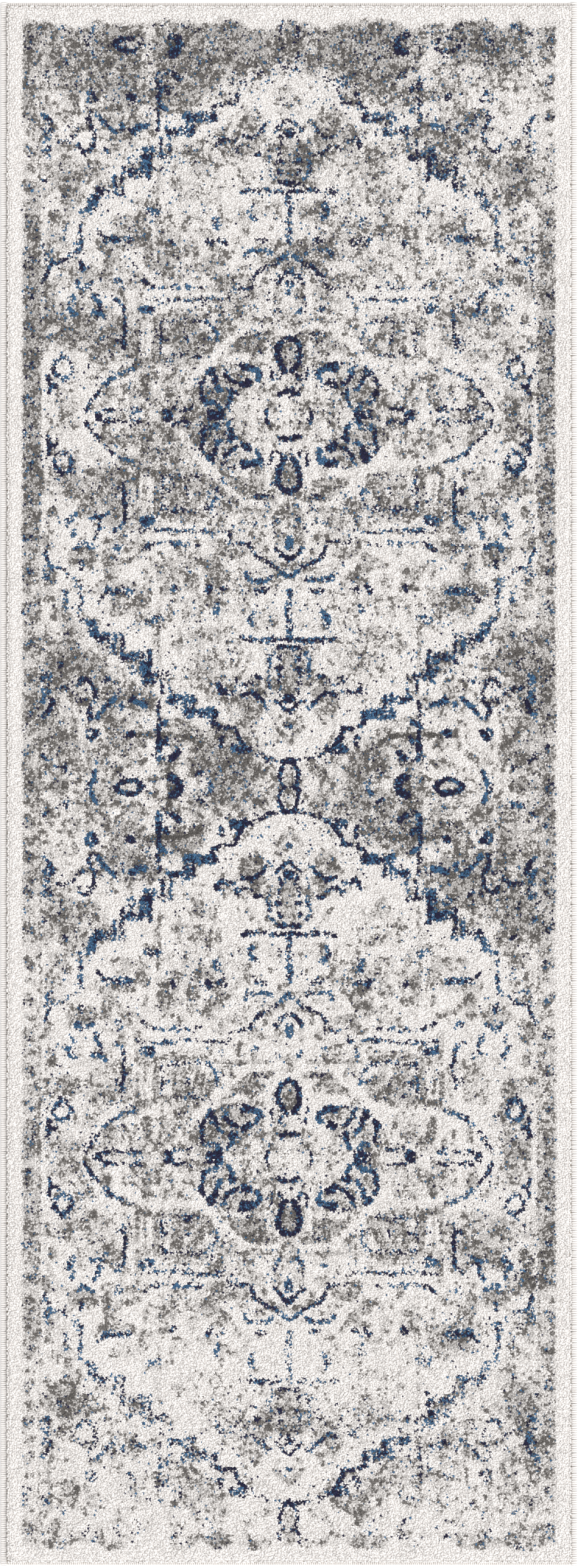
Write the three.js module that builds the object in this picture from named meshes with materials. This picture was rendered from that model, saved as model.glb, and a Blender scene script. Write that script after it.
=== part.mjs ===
// Runner rug: machine-woven cut pile on a jute and cotton ground, latex-sized on the back,
// with thick-yarn serging along the sides and a finer overlock along the ends.
//
// Millimetres. X runs across the rug, Y along it from foot to head, and Z up from the floor.
// The origin is the middle of the underside, where the back coating rests on the floor.

import * as THREE from 'three';

// ---------------------------------------------------------------- driving dimensions

const RUG_WIDTH = 787.4; // 2 ft 7 in, over the serged sides
const RUG_LENGTH = 2133.6; // 7 ft, over the overlocked ends
const CLEARANCE = 0.3; // left between any two pieces that touch

const COATING_THICKNESS = 0.5; // dried latex size on the back
const LOWER_WEFT_THICKNESS = 0.6; // jute shots that the pile loops pass under
const STUFFER_WARP_THICKNESS = 0.5; // straight cotton ends between the two rows of shots
const UPPER_WEFT_THICKNESS = 0.6; // jute shots that the pile stands on

const PILE_HEIGHT = 7.6; // from the upper shots to the cut tips
const PILE_SHOULDER = 2.6; // how far the outermost tufts lean out and round the edge over
const PILE_CORNER_RADIUS = 1.5; // of the pile's top face, at its four corners
const SHOULDER_STEPS = 4; // rows of facets round the pile's edge
const CORNER_STEPS = 5; // facets round each corner of the pile

const SERGING_WIDTH = 9.1; // how far the side overcasting reaches in over the face
const SERGING_WALL = 1.0; // wool-type serging yarn, one wrap thick, on the face
const SERGING_SOLE = 0.5; // the same yarn pressed flat against the floor
const SELVEDGE_CORD_DIAMETER = 3.2; // filler cord that the overcasting is wound over

const OVERLOCK_WIDTH = 5.0; // how far the end overlock reaches in over the face
const OVERLOCK_WALL = 0.8; // finer overlock yarn, one wrap thick, on the face
const OVERLOCK_SOLE = 0.5; // the same yarn pressed flat against the floor
const HEADER_ROLL_DIAMETER = 2.6; // woven header, without pile, rolled in under the overlock

const SIDE_THREAD_DIAMETER = 0.8; // needle thread of the serging, along its inner edge
const END_THREAD_DIAMETER = 0.7; // needle thread of the end overlock, along its inner edge

const WRAP_ARC_STEPS = 10; // facets round the outer edge of a wrap
const CORD_SIDES = 12;
const THREAD_SIDES = 8;

// ---------------------------------------------------------------- heights of the layers

const groundBottom = Math.max(COATING_THICKNESS, SERGING_SOLE, OVERLOCK_SOLE) + CLEARANCE;
const stufferBottom = groundBottom + LOWER_WEFT_THICKNESS + CLEARANCE;
const upperWeftBottom = stufferBottom + STUFFER_WARP_THICKNESS + CLEARANCE;
const groundTop = upperWeftBottom + UPPER_WEFT_THICKNESS;
const pileBottom = groundTop + CLEARANCE;
const pileTop = pileBottom + PILE_HEIGHT;

// ---------------------------------------------------------------- colours and finishes

/** A yarn, cloth or coating finish: colour as an sRGB hex value, with no metal in any of them. */
function finish(color, roughness) {
  return new THREE.MeshStandardMaterial({ color, roughness, metalness: 0 });
}

const pileFinish = finish(0xd9d4cd, 0.95);
const juteFinish = finish(0xb59a70, 0.95);
const stufferFinish = finish(0xcfc7b8, 0.9);
const latexFinish = finish(0xe6e0d2, 0.6);
const sergingFinish = finish(0xe4dfd8, 0.85);
const overlockFinish = finish(0xd8d0c4, 0.88);
const cordFinish = finish(0xd8cfbf, 0.9);
const threadFinish = finish(0xf1ede6, 0.5);

// ---------------------------------------------------------------- helpers

/** A named piece. */
function piece(name, geometry, material) {
  const mesh = new THREE.Mesh(geometry, material);
  mesh.name = name;
  return mesh;
}

/** A flat layer lying on its own height, width across X and length along Y. */
function layer(name, width, length, bottom, thickness, material) {
  const mesh = piece(name, new THREE.BoxGeometry(width, length, thickness), material);
  mesh.position.z = bottom + thickness / 2;
  return mesh;
}

/** A round cord or thread along Y, in the frame of one edge. */
function edgeCord(name, length, diameter, inward, height, sides, material) {
  const radius = diameter / 2;
  const geometry = new THREE.CylinderGeometry(radius, radius, length, sides);
  const mesh = piece(name, geometry, material);
  mesh.position.set(inward, 0, height);
  return mesh;
}

/** Points of a rectangle with round corners, counterclockwise seen from above, as [x, y] pairs. */
function roundedOutline(width, length, radius) {
  const points = [];
  const corners = [
    [1, 1],
    [-1, 1],
    [-1, -1],
    [1, -1],
  ];
  corners.forEach(([sideX, sideY], quarter) => {
    const centreX = sideX * (width / 2 - radius);
    const centreY = sideY * (length / 2 - radius);
    for (let step = 0; step <= CORNER_STEPS; step += 1) {
      const angle = (quarter + step / CORNER_STEPS) * (Math.PI / 2);
      points.push([centreX + radius * Math.cos(angle), centreY + radius * Math.sin(angle)]);
    }
  });
  return points;
}

/** A closed solid through a stack of outlines that all have the same number of points. */
function stackedSolid(rings) {
  const count = rings[0].points.length;
  const positions = [];
  const triangles = [];
  rings.forEach(({ points, height }) => {
    points.forEach(([x, y]) => positions.push(x, y, height));
  });
  for (let level = 0; level < rings.length - 1; level += 1) {
    for (let index = 0; index < count; index += 1) {
      const next = (index + 1) % count;
      const low = level * count;
      const high = low + count;
      triangles.push(low + index, low + next, high + next);
      triangles.push(low + index, high + next, high + index);
    }
  }
  const lid = (rings.length - 1) * count;
  for (let index = 1; index < count - 1; index += 1) {
    triangles.push(0, index + 1, index);
    triangles.push(lid, lid + index, lid + index + 1);
  }
  const geometry = new THREE.BufferGeometry();
  geometry.setAttribute('position', new THREE.Float32BufferAttribute(positions, 3));
  geometry.setIndex(triangles);
  geometry.computeVertexNormals();
  return geometry;
}

/** The pile as one block: upright sides, then a quarter round into the flat of the cut tips. */
function pileGeometry(width, length) {
  const ringAt = (inset, height) => {
    const radius = PILE_CORNER_RADIUS + PILE_SHOULDER - inset;
    return { points: roundedOutline(width - 2 * inset, length - 2 * inset, radius), height };
  };
  const rings = [ringAt(0, pileBottom)];
  for (let step = 0; step <= SHOULDER_STEPS; step += 1) {
    const angle = (step / SHOULDER_STEPS) * (Math.PI / 2);
    const inset = PILE_SHOULDER * (1 - Math.cos(angle));
    rings.push(ringAt(inset, pileTop - PILE_SHOULDER * (1 - Math.sin(angle))));
  }
  return stackedSolid(rings);
}

/**
 * What an edge's wrap measures, from the core that it is wound over.
 * centre is where the core lies, in from the edge; coreHeight is the height of its middle.
 */
function wrapSizes(width, wall, sole, coreDiameter) {
  const cavity = Math.max(coreDiameter + 2 * CLEARANCE, groundTop + CLEARANCE - sole);
  const centre = cavity / 2 + wall;
  return {
    width,
    wall,
    sole,
    cavity,
    centre,
    top: sole + cavity + wall,
    coreHeight: sole + cavity / 2,
    groundInset: centre + coreDiameter / 2 + CLEARANCE,
  };
}

/**
 * Section of a wrap: a C round the core, open towards the rug, where the ground cloth goes in.
 * x runs in from the edge and y up. The upper leg slopes down to lie on the ground cloth.
 */
function wrapSection({ width, wall, sole, cavity, centre, top }) {
  const mouthTop = groundTop + CLEARANCE;
  const below = 1.5 * Math.PI;
  const above = 0.5 * Math.PI;
  const section = new THREE.Shape();
  section.moveTo(width, 0);
  section.lineTo(centre, 0);
  section.absellipse(centre, top / 2, centre, top / 2, below, above, true);
  section.lineTo(width, mouthTop + wall);
  section.lineTo(width, mouthTop);
  section.lineTo(centre, sole + cavity);
  section.absellipse(centre, sole + cavity / 2, cavity / 2, cavity / 2, above, below, false);
  section.lineTo(width, sole);
  section.closePath();
  return section;
}

/** A wrap along Y, in the frame of one edge. */
function wrap(name, sizes, length, material) {
  const geometry = new THREE.ExtrudeGeometry(wrapSection(sizes), {
    depth: length,
    bevelEnabled: false,
    curveSegments: WRAP_ARC_STEPS,
  });
  const mesh = piece(name, geometry, material);
  mesh.rotation.x = Math.PI / 2;
  mesh.position.y = length / 2;
  return mesh;
}

/**
 * One finished edge: its wrap, the core inside it, and the thread along its inner side.
 * The group's x runs in from the rug's edge, its y along the edge, and its z up.
 */
function finishedEdge({ sizes, length, wrapPiece, core, thread }) {
  const edge = new THREE.Group();
  edge.add(wrap(wrapPiece.name, sizes, length, wrapPiece.material));
  edge.add(edgeCord(core.name, length, core.diameter, sizes.centre, sizes.coreHeight, CORD_SIDES, core.material));
  const threadInward = sizes.width + CLEARANCE + thread.diameter / 2;
  const threadHeight = pileBottom + thread.diameter / 2;
  edge.add(edgeCord(thread.name, length, thread.diameter, threadInward, threadHeight, THREAD_SIDES, threadFinish));
  return edge;
}

// ---------------------------------------------------------------- fits between the pieces

const sideSizes = wrapSizes(SERGING_WIDTH, SERGING_WALL, SERGING_SOLE, SELVEDGE_CORD_DIAMETER);
const endSizes = wrapSizes(OVERLOCK_WIDTH, OVERLOCK_WALL, OVERLOCK_SOLE, HEADER_ROLL_DIAMETER);

// From the rug's edge in to the pile: the wrap, then the thread beside it.
const sideMargin = SERGING_WIDTH + SIDE_THREAD_DIAMETER + 2 * CLEARANCE;
const endMargin = OVERLOCK_WIDTH + END_THREAD_DIAMETER + 2 * CLEARANCE;

const pileWidth = RUG_WIDTH - 2 * sideMargin;
const pileLength = RUG_LENGTH - 2 * endMargin;
const groundWidth = RUG_WIDTH - 2 * sideSizes.groundInset;
const groundLength = RUG_LENGTH - 2 * endSizes.groundInset;
const coatingWidth = RUG_WIDTH - 2 * (SERGING_WIDTH + CLEARANCE);
const coatingLength = RUG_LENGTH - 2 * (OVERLOCK_WIDTH + CLEARANCE);
// The end overlocks stop short of the serged sides and of the needle threads beside them.
const overlockLength = RUG_WIDTH - 2 * sideMargin;

// ---------------------------------------------------------------- the rug

/** The woven body: coating, the two rows of shots with the stuffer warps between, and the pile. */
function wovenBody() {
  const body = new THREE.Group();
  body.add(layer('back_coating', coatingWidth, coatingLength, 0, COATING_THICKNESS, latexFinish));
  body.add(layer('lower_weft', groundWidth, groundLength, groundBottom, LOWER_WEFT_THICKNESS, juteFinish));
  body.add(
    layer('stuffer_warp', groundWidth, groundLength, stufferBottom, STUFFER_WARP_THICKNESS, stufferFinish),
  );
  body.add(layer('upper_weft', groundWidth, groundLength, upperWeftBottom, UPPER_WEFT_THICKNESS, juteFinish));
  body.add(piece('pile_field', pileGeometry(pileWidth, pileLength), pileFinish));
  return body;
}

/** A serged long side. */
function sergedSide(side) {
  return finishedEdge({
    sizes: sideSizes,
    length: RUG_LENGTH,
    wrapPiece: { name: `${side}_side_serging`, material: sergingFinish },
    core: { name: `${side}_selvedge_cord`, diameter: SELVEDGE_CORD_DIAMETER, material: cordFinish },
    thread: { name: `${side}_needle_thread`, diameter: SIDE_THREAD_DIAMETER },
  });
}

/** An overlocked end. */
function overlockedEnd(end) {
  return finishedEdge({
    sizes: endSizes,
    length: overlockLength,
    wrapPiece: { name: `${end}_end_overlock`, material: overlockFinish },
    core: { name: `${end}_header_roll`, diameter: HEADER_ROLL_DIAMETER, material: juteFinish },
    thread: { name: `${end}_needle_thread`, diameter: END_THREAD_DIAMETER },
  });
}

/** Puts an edge in its place: x and y of the middle of that edge, and its turn in quarters. */
function placed(edge, x, y, quarters) {
  edge.position.set(x, y, 0);
  edge.rotation.z = quarters * (Math.PI / 2);
  return edge;
}

const rug = new THREE.Group();
rug.add(wovenBody());
rug.add(placed(sergedSide('left'), -RUG_WIDTH / 2, 0, 0));
rug.add(placed(sergedSide('right'), RUG_WIDTH / 2, 0, 2));
rug.add(placed(overlockedEnd('foot'), 0, -RUG_LENGTH / 2, 1));
rug.add(placed(overlockedEnd('head'), 0, RUG_LENGTH / 2, 3));

export default rug;
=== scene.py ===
"""Looks of a machine-woven runner rug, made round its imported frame.

Metres, +X across the rug, +Y from its foot to its head and +Z up out of the pile. Sizes of
yarns, stitches and the drawing are named values in millimetres, times MM where a mesh is made.
"""

import sys

import logging
import math
from dataclasses import dataclass, field
from enum import Enum

import bpy
import numpy as np
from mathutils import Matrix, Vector


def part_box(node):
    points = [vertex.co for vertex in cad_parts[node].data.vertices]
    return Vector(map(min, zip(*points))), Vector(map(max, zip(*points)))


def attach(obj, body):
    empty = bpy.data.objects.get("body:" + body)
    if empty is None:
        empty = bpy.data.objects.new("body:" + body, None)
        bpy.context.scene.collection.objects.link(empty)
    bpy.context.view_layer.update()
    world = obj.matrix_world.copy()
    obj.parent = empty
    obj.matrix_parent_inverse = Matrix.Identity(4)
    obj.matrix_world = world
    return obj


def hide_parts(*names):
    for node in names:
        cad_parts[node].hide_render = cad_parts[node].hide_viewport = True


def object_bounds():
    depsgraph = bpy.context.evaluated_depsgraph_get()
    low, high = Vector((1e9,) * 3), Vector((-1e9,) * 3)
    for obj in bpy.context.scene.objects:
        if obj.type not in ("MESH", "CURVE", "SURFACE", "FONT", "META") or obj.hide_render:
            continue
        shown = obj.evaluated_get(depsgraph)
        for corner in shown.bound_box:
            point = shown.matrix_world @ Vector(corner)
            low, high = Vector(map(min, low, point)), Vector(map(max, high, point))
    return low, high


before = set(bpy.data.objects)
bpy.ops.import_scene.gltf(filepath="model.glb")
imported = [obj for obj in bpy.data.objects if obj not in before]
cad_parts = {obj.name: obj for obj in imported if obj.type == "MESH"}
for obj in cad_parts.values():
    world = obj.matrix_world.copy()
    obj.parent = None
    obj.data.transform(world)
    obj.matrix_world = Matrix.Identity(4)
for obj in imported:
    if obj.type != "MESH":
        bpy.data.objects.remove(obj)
cad_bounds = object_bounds()

MM = 0.001
BODY = "root"
WHOLE_LOW, WHOLE_HIGH = (np.array(corner) / MM for corner in cad_bounds)
SHOT_PITCH = 4.7  # mm from one jute shot to the next
END_PITCH = 4.7  # mm from one stuffer end to the next
NOISE_WIDTH, NOISE_LENGTH = 1200.0, 2800.0  # mm that value_noise covers, round the origin
log = logging.getLogger("runner")


# ------------------------------------------------------------------ small helpers


def linear(code: str) -> tuple[float, float, float, float]:
    """Turn an sRGB hex colour into the linear values that shaders take.

    Args:
        code: Six hex digits after a #.

    Returns:
        Red, green, blue and an alpha of 1.
    """
    parts = [int(code[i : i + 2], 16) / 255 for i in (1, 3, 5)]
    red, green, blue = (c / 12.92 if c <= 0.04045 else ((c + 0.055) / 1.055) ** 2.4 for c in parts)
    return red, green, blue, 1.0


def wire(
    tree: bpy.types.NodeTree, node: bpy.types.Node, settings: dict | None, links: dict | None
) -> bpy.types.Node:
    """Give a node its settings and its links.

    Args:
        tree: The node's tree.
        node: The node.
        settings: Values by name, each for the node's own property or for an input socket.
        links: Output sockets, each by the name or number of the input that it feeds.

    Returns:
        The same node.
    """
    for name, value in (settings or {}).items():
        if isinstance(name, str) and hasattr(node, name):
            setattr(node, name, value)
        else:
            node.inputs[name].default_value = value
    for name, output in (links or {}).items():
        tree.links.new(output, node.inputs[name])
    return node


def add(
    tree: bpy.types.NodeTree, kind: str, settings: dict | None = None, links: dict | None = None
) -> bpy.types.Node:
    """Add a node to a tree, with its settings and its links.

    Args:
        tree: The material's or the modifier's node tree.
        kind: Blender's name for the type of node.
        settings: Values, as wire takes them.
        links: Output sockets, as wire takes them.

    Returns:
        The new node.
    """
    return wire(tree, tree.nodes.new(kind), settings, links)


def start_material(name: str) -> tuple[bpy.types.Material, bpy.types.NodeTree, bpy.types.NodeSocket]:
    """Start a material.

    Args:
        name: The real material's name.

    Returns:
        The material, its tree, and the socket that gives places on the object.
    """
    made = bpy.data.materials.new(name)
    made.use_nodes = True
    tree = made.node_tree
    return made, tree, add(tree, "ShaderNodeTexCoord").outputs["Object"]


def finish_material(material: bpy.types.Material, settings: dict, links: dict) -> bpy.types.Material:
    """Give a material's shader its values and its links, and return the material."""
    wire(material.node_tree, material.node_tree.nodes["Principled BSDF"], settings, links)
    return material


def ramp_stops(node: bpy.types.Node, stops: list[tuple[float, tuple]]) -> bpy.types.Node:
    """Give a Color Ramp node its stops.

    Args:
        node: The Color Ramp node.
        stops: Position and colour of each stop, in order.

    Returns:
        The same node.
    """
    ramp = node.color_ramp
    while len(ramp.elements) < len(stops):
        ramp.elements.new(0.5)
    for element, (position, colour) in zip(ramp.elements, stops):
        element.position = position
        element.color = colour
    return node


def mesh_object(name: str, points: np.ndarray, faces: list) -> bpy.types.Object:
    """Make an object at the origin from points and faces.

    Args:
        name: The object's name.
        points: Corners in metres, one row each.
        faces: Corner numbers of each face, or nothing for a cloud of points.

    Returns:
        The object, linked to the scene.
    """
    mesh = bpy.data.meshes.new(name)
    mesh.from_pydata(np.asarray(points).tolist(), [], faces)
    mesh.update()
    made = bpy.data.objects.new(name, mesh)
    bpy.context.scene.collection.objects.link(made)
    return made


def set_attribute(mesh: bpy.types.Mesh, name: str, kind: str, values: np.ndarray) -> None:
    """Store one value for each point of a mesh.

    Args:
        mesh: The mesh.
        name: The attribute's name.
        kind: FLOAT or FLOAT_VECTOR.
        values: One row or number for each point.
    """
    attribute = mesh.attributes.new(name, kind, "POINT")
    slot = "value" if kind == "FLOAT" else "vector"
    attribute.data.foreach_set(slot, np.ascontiguousarray(values, dtype=np.float32).ravel())


def between(grid: np.ndarray, i: np.ndarray, j: np.ndarray, s: np.ndarray, t: np.ndarray) -> np.ndarray:
    """Read a grid between its points.

    Args:
        grid: The values, by row and column.
        i: The column before each place.
        j: The row before each place.
        s: How far each place lies past its column, from 0 to 1.
        t: How far it lies past its row.

    Returns:
        The value at each place.
    """
    low = grid[j, i] * (1 - s) + grid[j, i + 1] * s
    high = grid[j + 1, i] * (1 - s) + grid[j + 1, i + 1] * s
    return low * (1 - t) + high * t


def value_noise(x: np.ndarray, y: np.ndarray, cell_x: float, cell_y: float, seed: int) -> np.ndarray:
    """Smooth noise over the rug, between -1 and 1.

    Args:
        x: Places across the rug in millimetres.
        y: Places along it.
        cell_x: How far apart the noise's own random values lie across the rug.
        cell_y: How far apart they lie along it.
        seed: Which noise.

    Returns:
        The noise at each place.
    """
    across = (x + NOISE_WIDTH / 2) / cell_x
    along = (y + NOISE_LENGTH / 2) / cell_y
    size = (int(NOISE_LENGTH / cell_y) + 3, int(NOISE_WIDTH / cell_x) + 3)
    lattice = np.random.default_rng(seed).uniform(-1, 1, size)
    i, j = np.floor(across).astype(int), np.floor(along).astype(int)
    s, t = across - i, along - j
    return between(lattice, i, j, s * s * (3 - 2 * s), t * t * (3 - 2 * t))


def node_box(node: str) -> tuple[np.ndarray, np.ndarray]:
    """Give a CAD node's lowest and highest corner in millimetres."""
    low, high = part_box(node)
    return np.array(low) / MM, np.array(high) / MM


@dataclass
class NodeModifier:
    """A Geometry Nodes tree with named inputs, put on an object and turned into a mesh."""

    name: str
    sockets: dict[str, tuple[str, object]]
    tree: bpy.types.NodeTree = field(init=False)
    start: bpy.types.Node = field(init=False)

    def __post_init__(self) -> None:
        """Make the tree with its inputs and one geometry output."""
        self.tree = bpy.data.node_groups.new(self.name, "GeometryNodeTree")
        face = self.tree.interface
        face.new_socket("Geometry", in_out="INPUT", socket_type="NodeSocketGeometry")
        for label, (kind, default) in self.sockets.items():
            socket = face.new_socket(label, in_out="INPUT", socket_type=kind)
            if default is not None:
                socket.default_value = default
        face.new_socket("Geometry", in_out="OUTPUT", socket_type="NodeSocketGeometry")
        self.start = self.tree.nodes.new("NodeGroupInput")

    def end(self, geometry: bpy.types.NodeSocket) -> None:
        """Set the material and end the tree.

        Args:
            geometry: The socket with the finished geometry.
        """
        dressed = add(
            self.tree,
            "GeometryNodeSetMaterial",
            links={"Geometry": geometry, "Material": self.start.outputs["Material"]},
        )
        add(self.tree, "NodeGroupOutput", links={"Geometry": dressed.outputs["Geometry"]})

    def apply(self, target: bpy.types.Object, values: dict[str, object]) -> bpy.types.Object:
        """Run the tree on an object and keep the result as its plain mesh.

        Args:
            target: The object, whose mesh the tree starts from.
            values: Values of the named inputs.

        Returns:
            The same object with its final mesh and no modifier.
        """
        modifier = target.modifiers.new(self.name, "NODES")
        modifier.node_group = self.tree
        for socket in self.tree.interface.items_tree:
            if socket.in_out == "INPUT" and socket.name in values:
                modifier[socket.identifier] = values[socket.name]
        evaluated = target.evaluated_get(bpy.context.evaluated_depsgraph_get())
        mesh = bpy.data.meshes.new_from_object(evaluated)
        target.modifiers.clear()
        spent = target.data
        target.data = mesh
        mesh.name = target.name
        bpy.data.meshes.remove(spent)
        return target


def dress(piece: bpy.types.Object, material: bpy.types.Material) -> None:
    """Give a piece one material."""
    piece.data.materials.clear()
    piece.data.materials.append(material)


def hand_over(
    piece: bpy.types.Object, nodes: list[str], material: bpy.types.Material | None = None
) -> bpy.types.Object:
    """Put a finished piece on the rug's body, in place of its CAD nodes.

    Args:
        piece: The finished piece.
        nodes: The CAD nodes that it stands for.
        material: Its material, where its mesh has none yet.

    Returns:
        The piece.
    """
    if material is not None:
        dress(piece, material)
    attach(piece, BODY)
    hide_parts(*nodes)
    log.info("%s: %d faces", piece.name, len(piece.data.polygons))
    return piece


# ------------------------------------------------------------------ finishes


class Yarn(Enum):
    """The pile yarns that the loom chooses between for each tuft."""

    IVORY = "ivory"
    PALE = "pale_grey"
    CHARCOAL = "charcoal"
    BLUE = "blue"
    NAVY = "navy"


ORDER = {yarn: number for number, yarn in enumerate(Yarn)}


@dataclass(frozen=True)
class PileYarn:
    """Heat-set polypropylene pile yarn, cut: matte, with painted shade that darkens it down between the
    tufts.
    """

    name: str
    colour: str
    # root: share of the colour left at a tuft's root, as painted shade down between the tufts
    root: float = 0.8
    roughness: float = 0.92
    ply_mm: float = 1.6  # turn of the two-ply yarn; 0.8 mm on the real one, too fine to show
    heather: float = 0.1
    relief_mm: float = 0.4

    def material(self) -> bpy.types.Material:
        """Build the yarn's material.

        Returns:
            A material that reads each tuft's own shade, and darkens the tuft lower down as painted shade
            between the tufts.
        """
        made, tree, place = start_material(self.name)
        low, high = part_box("pile_field")
        # Painted shade: the colour darkens from the cut tips down to the tuft roots, by height
        split = add(tree, "ShaderNodeSeparateXYZ", links={0: place})
        reach = {"From Min": low.z, "From Max": high.z, "To Min": self.root, "To Max": 1.0}
        depth = add(tree, "ShaderNodeMapRange", reach, {"Value": split.outputs["Z"]})
        shade = add(tree, "ShaderNodeAttribute", {"attribute_name": "shade"})
        grain = {"Scale": 1 / (self.ply_mm * MM), "Detail": 1.0, "Roughness": 0.6}
        fibre = add(tree, "ShaderNodeTexNoise", grain, {"Vector": place}).outputs["Fac"]
        uneven = {"To Min": 1 - self.heather, "To Max": 1 + self.heather}
        heather = add(tree, "ShaderNodeMapRange", uneven, {"Value": fibre}).outputs[0]
        times = {"operation": "MULTIPLY"}
        lit = add(tree, "ShaderNodeMath", times, {0: depth.outputs["Result"], 1: shade.outputs["Fac"]})
        tone = add(tree, "ShaderNodeMath", times, {0: lit.outputs[0], 1: heather}).outputs[0]
        dye = {"operation": "SCALE", 0: linear(self.colour)[:3]}
        colour = add(tree, "ShaderNodeVectorMath", dye, {"Scale": tone}).outputs[0]
        raised = {"Strength": 0.4, "Distance": self.relief_mm * MM}
        bump = add(tree, "ShaderNodeBump", raised, {"Height": fibre})
        look = {"Roughness": self.roughness, "IOR": 1.49, "Specular IOR Level": 0.25}
        look |= {"Sheen Weight": 0.1, "Sheen Roughness": 0.5}
        return finish_material(made, look, {"Base Color": colour, "Normal": bump.outputs["Normal"]})


@dataclass(frozen=True)
class PileBody:
    """The standing fibres under the cut tips: soft, close and matte, in the yarns' mean colour."""

    name: str = "polypropylene_pile_fibres"
    ply_mm: float = 1.6
    darkest: float = 0.78
    roughness: float = 0.95

    def material(self) -> bpy.types.Material:
        """Build the material.

        Returns:
            A material that reads the mean colour of the yarns at each place.
        """
        made, tree, place = start_material(self.name)
        grain = {"Scale": 1 / (self.ply_mm * MM), "Detail": 2.0}
        fibre = add(tree, "ShaderNodeTexNoise", grain, {"Vector": place}).outputs["Fac"]
        reach = {"From Min": 0.3, "From Max": 0.7, "To Min": self.darkest, "To Max": 1.0}
        shade = add(tree, "ShaderNodeMapRange", reach, {"Value": fibre}).outputs["Result"]
        yarns = add(tree, "ShaderNodeAttribute", {"attribute_name": "yarns"}).outputs["Vector"]
        colour = add(tree, "ShaderNodeVectorMath", {"operation": "SCALE"}, {0: yarns, "Scale": shade})
        look = {"Roughness": self.roughness, "Specular IOR Level": 0.2}
        return finish_material(made, look, {"Base Color": colour.outputs[0]})


@dataclass(frozen=True)
class TwistedYarn:
    """Plied yarn wound or laid in one direction: matte, with fine ribs where its plies turn."""

    name: str
    colour: str
    dark: str
    along: tuple[float, float, float]  # how much the pattern is stretched on X, Y and Z
    ply_mm: float
    roughness: float
    relief_mm: float = 0.3
    sheen: float = 0.1
    slub_plies: float = 14  # how many plies wide the slow changes of shade are

    def material(self) -> bpy.types.Material:
        """Build the yarn's material.

        Returns:
            A material with fibre streaks that run along the yarn, and bump to match.
        """
        made, tree, place = start_material(self.name)
        stretched = add(tree, "ShaderNodeMapping", {"Scale": self.along}, {"Vector": place})
        grain = {"Scale": 1 / (self.ply_mm * MM), "Detail": 3.0, "Roughness": 0.65}
        fibre = add(tree, "ShaderNodeTexNoise", grain, {"Vector": stretched.outputs[0]}).outputs["Fac"]
        slow = {"Scale": 1 / (self.slub_plies * self.ply_mm * MM), "Detail": 2.0}
        slub = add(tree, "ShaderNodeTexNoise", slow, {"Vector": place}).outputs["Fac"]
        mixed = add(tree, "ShaderNodeMath", {"operation": "MULTIPLY_ADD", 1: 0.35}, {0: slub, 2: fibre})
        shades = ramp_stops(
            add(tree, "ShaderNodeValToRGB", links={"Fac": mixed.outputs[0]}),
            [(0.38, linear(self.dark)), (0.68, linear(self.colour))],
        )
        raised = {"Strength": 0.7, "Distance": self.relief_mm * MM}
        bump = add(tree, "ShaderNodeBump", raised, {"Height": fibre})
        look = {"Roughness": self.roughness, "IOR": 1.5, "Specular IOR Level": 0.3}
        look |= {"Sheen Weight": self.sheen, "Sheen Roughness": 0.5}
        return finish_material(
            made, look, {"Base Color": shades.outputs["Color"], "Normal": bump.outputs["Normal"]}
        )


@dataclass(frozen=True)
class LatexSize:
    """Thin dried latex over jute: the cloth's buff colour, with a dull satin skin on its ribs."""

    name: str = "latex_size_on_jute_cloth"
    cloth: str = "#b7a27e"
    skin: str = "#d9cfb9"
    fibre_mm: float = 2.5
    pool_mm: float = 90.0  # how far apart the thicker pools of latex lie
    relief_mm: float = 0.25

    def material(self) -> bpy.types.Material:
        """Build the coating's material.

        Returns:
            A material whose skin is thicker, and paler, between the ribs of the cloth.
        """
        made, tree, place = start_material(self.name)
        bands = {"wave_type": "BANDS", "bands_direction": "X", "Scale": math.pi / (10 * END_PITCH * MM)}
        warps = add(tree, "ShaderNodeTexWave", bands, {"Vector": place}).outputs["Fac"]
        grain = {"Scale": 1 / (self.fibre_mm * MM), "Detail": 4.0, "Roughness": 0.7}
        fibre = add(tree, "ShaderNodeTexNoise", grain, {"Vector": place}).outputs["Fac"]
        slow = {"Scale": 1 / (self.pool_mm * MM), "Detail": 3.0}
        pool = add(tree, "ShaderNodeTexNoise", slow, {"Vector": place}).outputs["Fac"]
        mix = {"operation": "MULTIPLY_ADD", 1: 0.35}
        ribs = add(tree, "ShaderNodeMath", mix, {0: warps, 2: fibre}).outputs[0]
        cover = add(tree, "ShaderNodeMath", {"operation": "ADD"}, {0: ribs, 1: pool}).outputs[0]
        shades = ramp_stops(
            add(tree, "ShaderNodeValToRGB", links={"Fac": cover}),
            [(0.75, linear(self.skin)), (1.0, linear(self.cloth))],
        )
        raised = {"Strength": 0.6, "Distance": self.relief_mm * MM}
        bump = add(tree, "ShaderNodeBump", raised, {"Height": ribs}).outputs["Normal"]
        dull = {"To Min": 0.45, "To Max": 0.75}
        gloss = add(tree, "ShaderNodeMapRange", dull, {"Value": fibre}).outputs[0]
        links = {"Base Color": shades.outputs["Color"], "Normal": bump, "Roughness": gloss}
        return finish_material(made, {"IOR": 1.52}, links)


@dataclass(frozen=True)
class StudioFloor:
    """Painted studio floor: even, pale and matte, with a faint mottle from the roller."""

    name: str = "painted_studio_floor"
    colour: str = "#f6f6f5"
    shadow: str = "#f0f0ef"
    mottle_mm: float = 60.0

    def material(self) -> bpy.types.Material:
        """Build the floor's material."""
        made, tree, place = start_material(self.name)
        grain = {"Scale": 1 / (self.mottle_mm * MM), "Detail": 2.0}
        roller = add(tree, "ShaderNodeTexNoise", grain, {"Vector": place})
        shades = ramp_stops(
            add(tree, "ShaderNodeValToRGB", links={"Fac": roller.outputs["Fac"]}),
            [(0.3, linear(self.shadow)), (0.7, linear(self.colour))],
        )
        look = {"Roughness": 0.8, "Specular IOR Level": 0.2}
        return finish_material(made, look, {"Base Color": shades.outputs["Color"]})


# ------------------------------------------------------------------ the woven drawing

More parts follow.
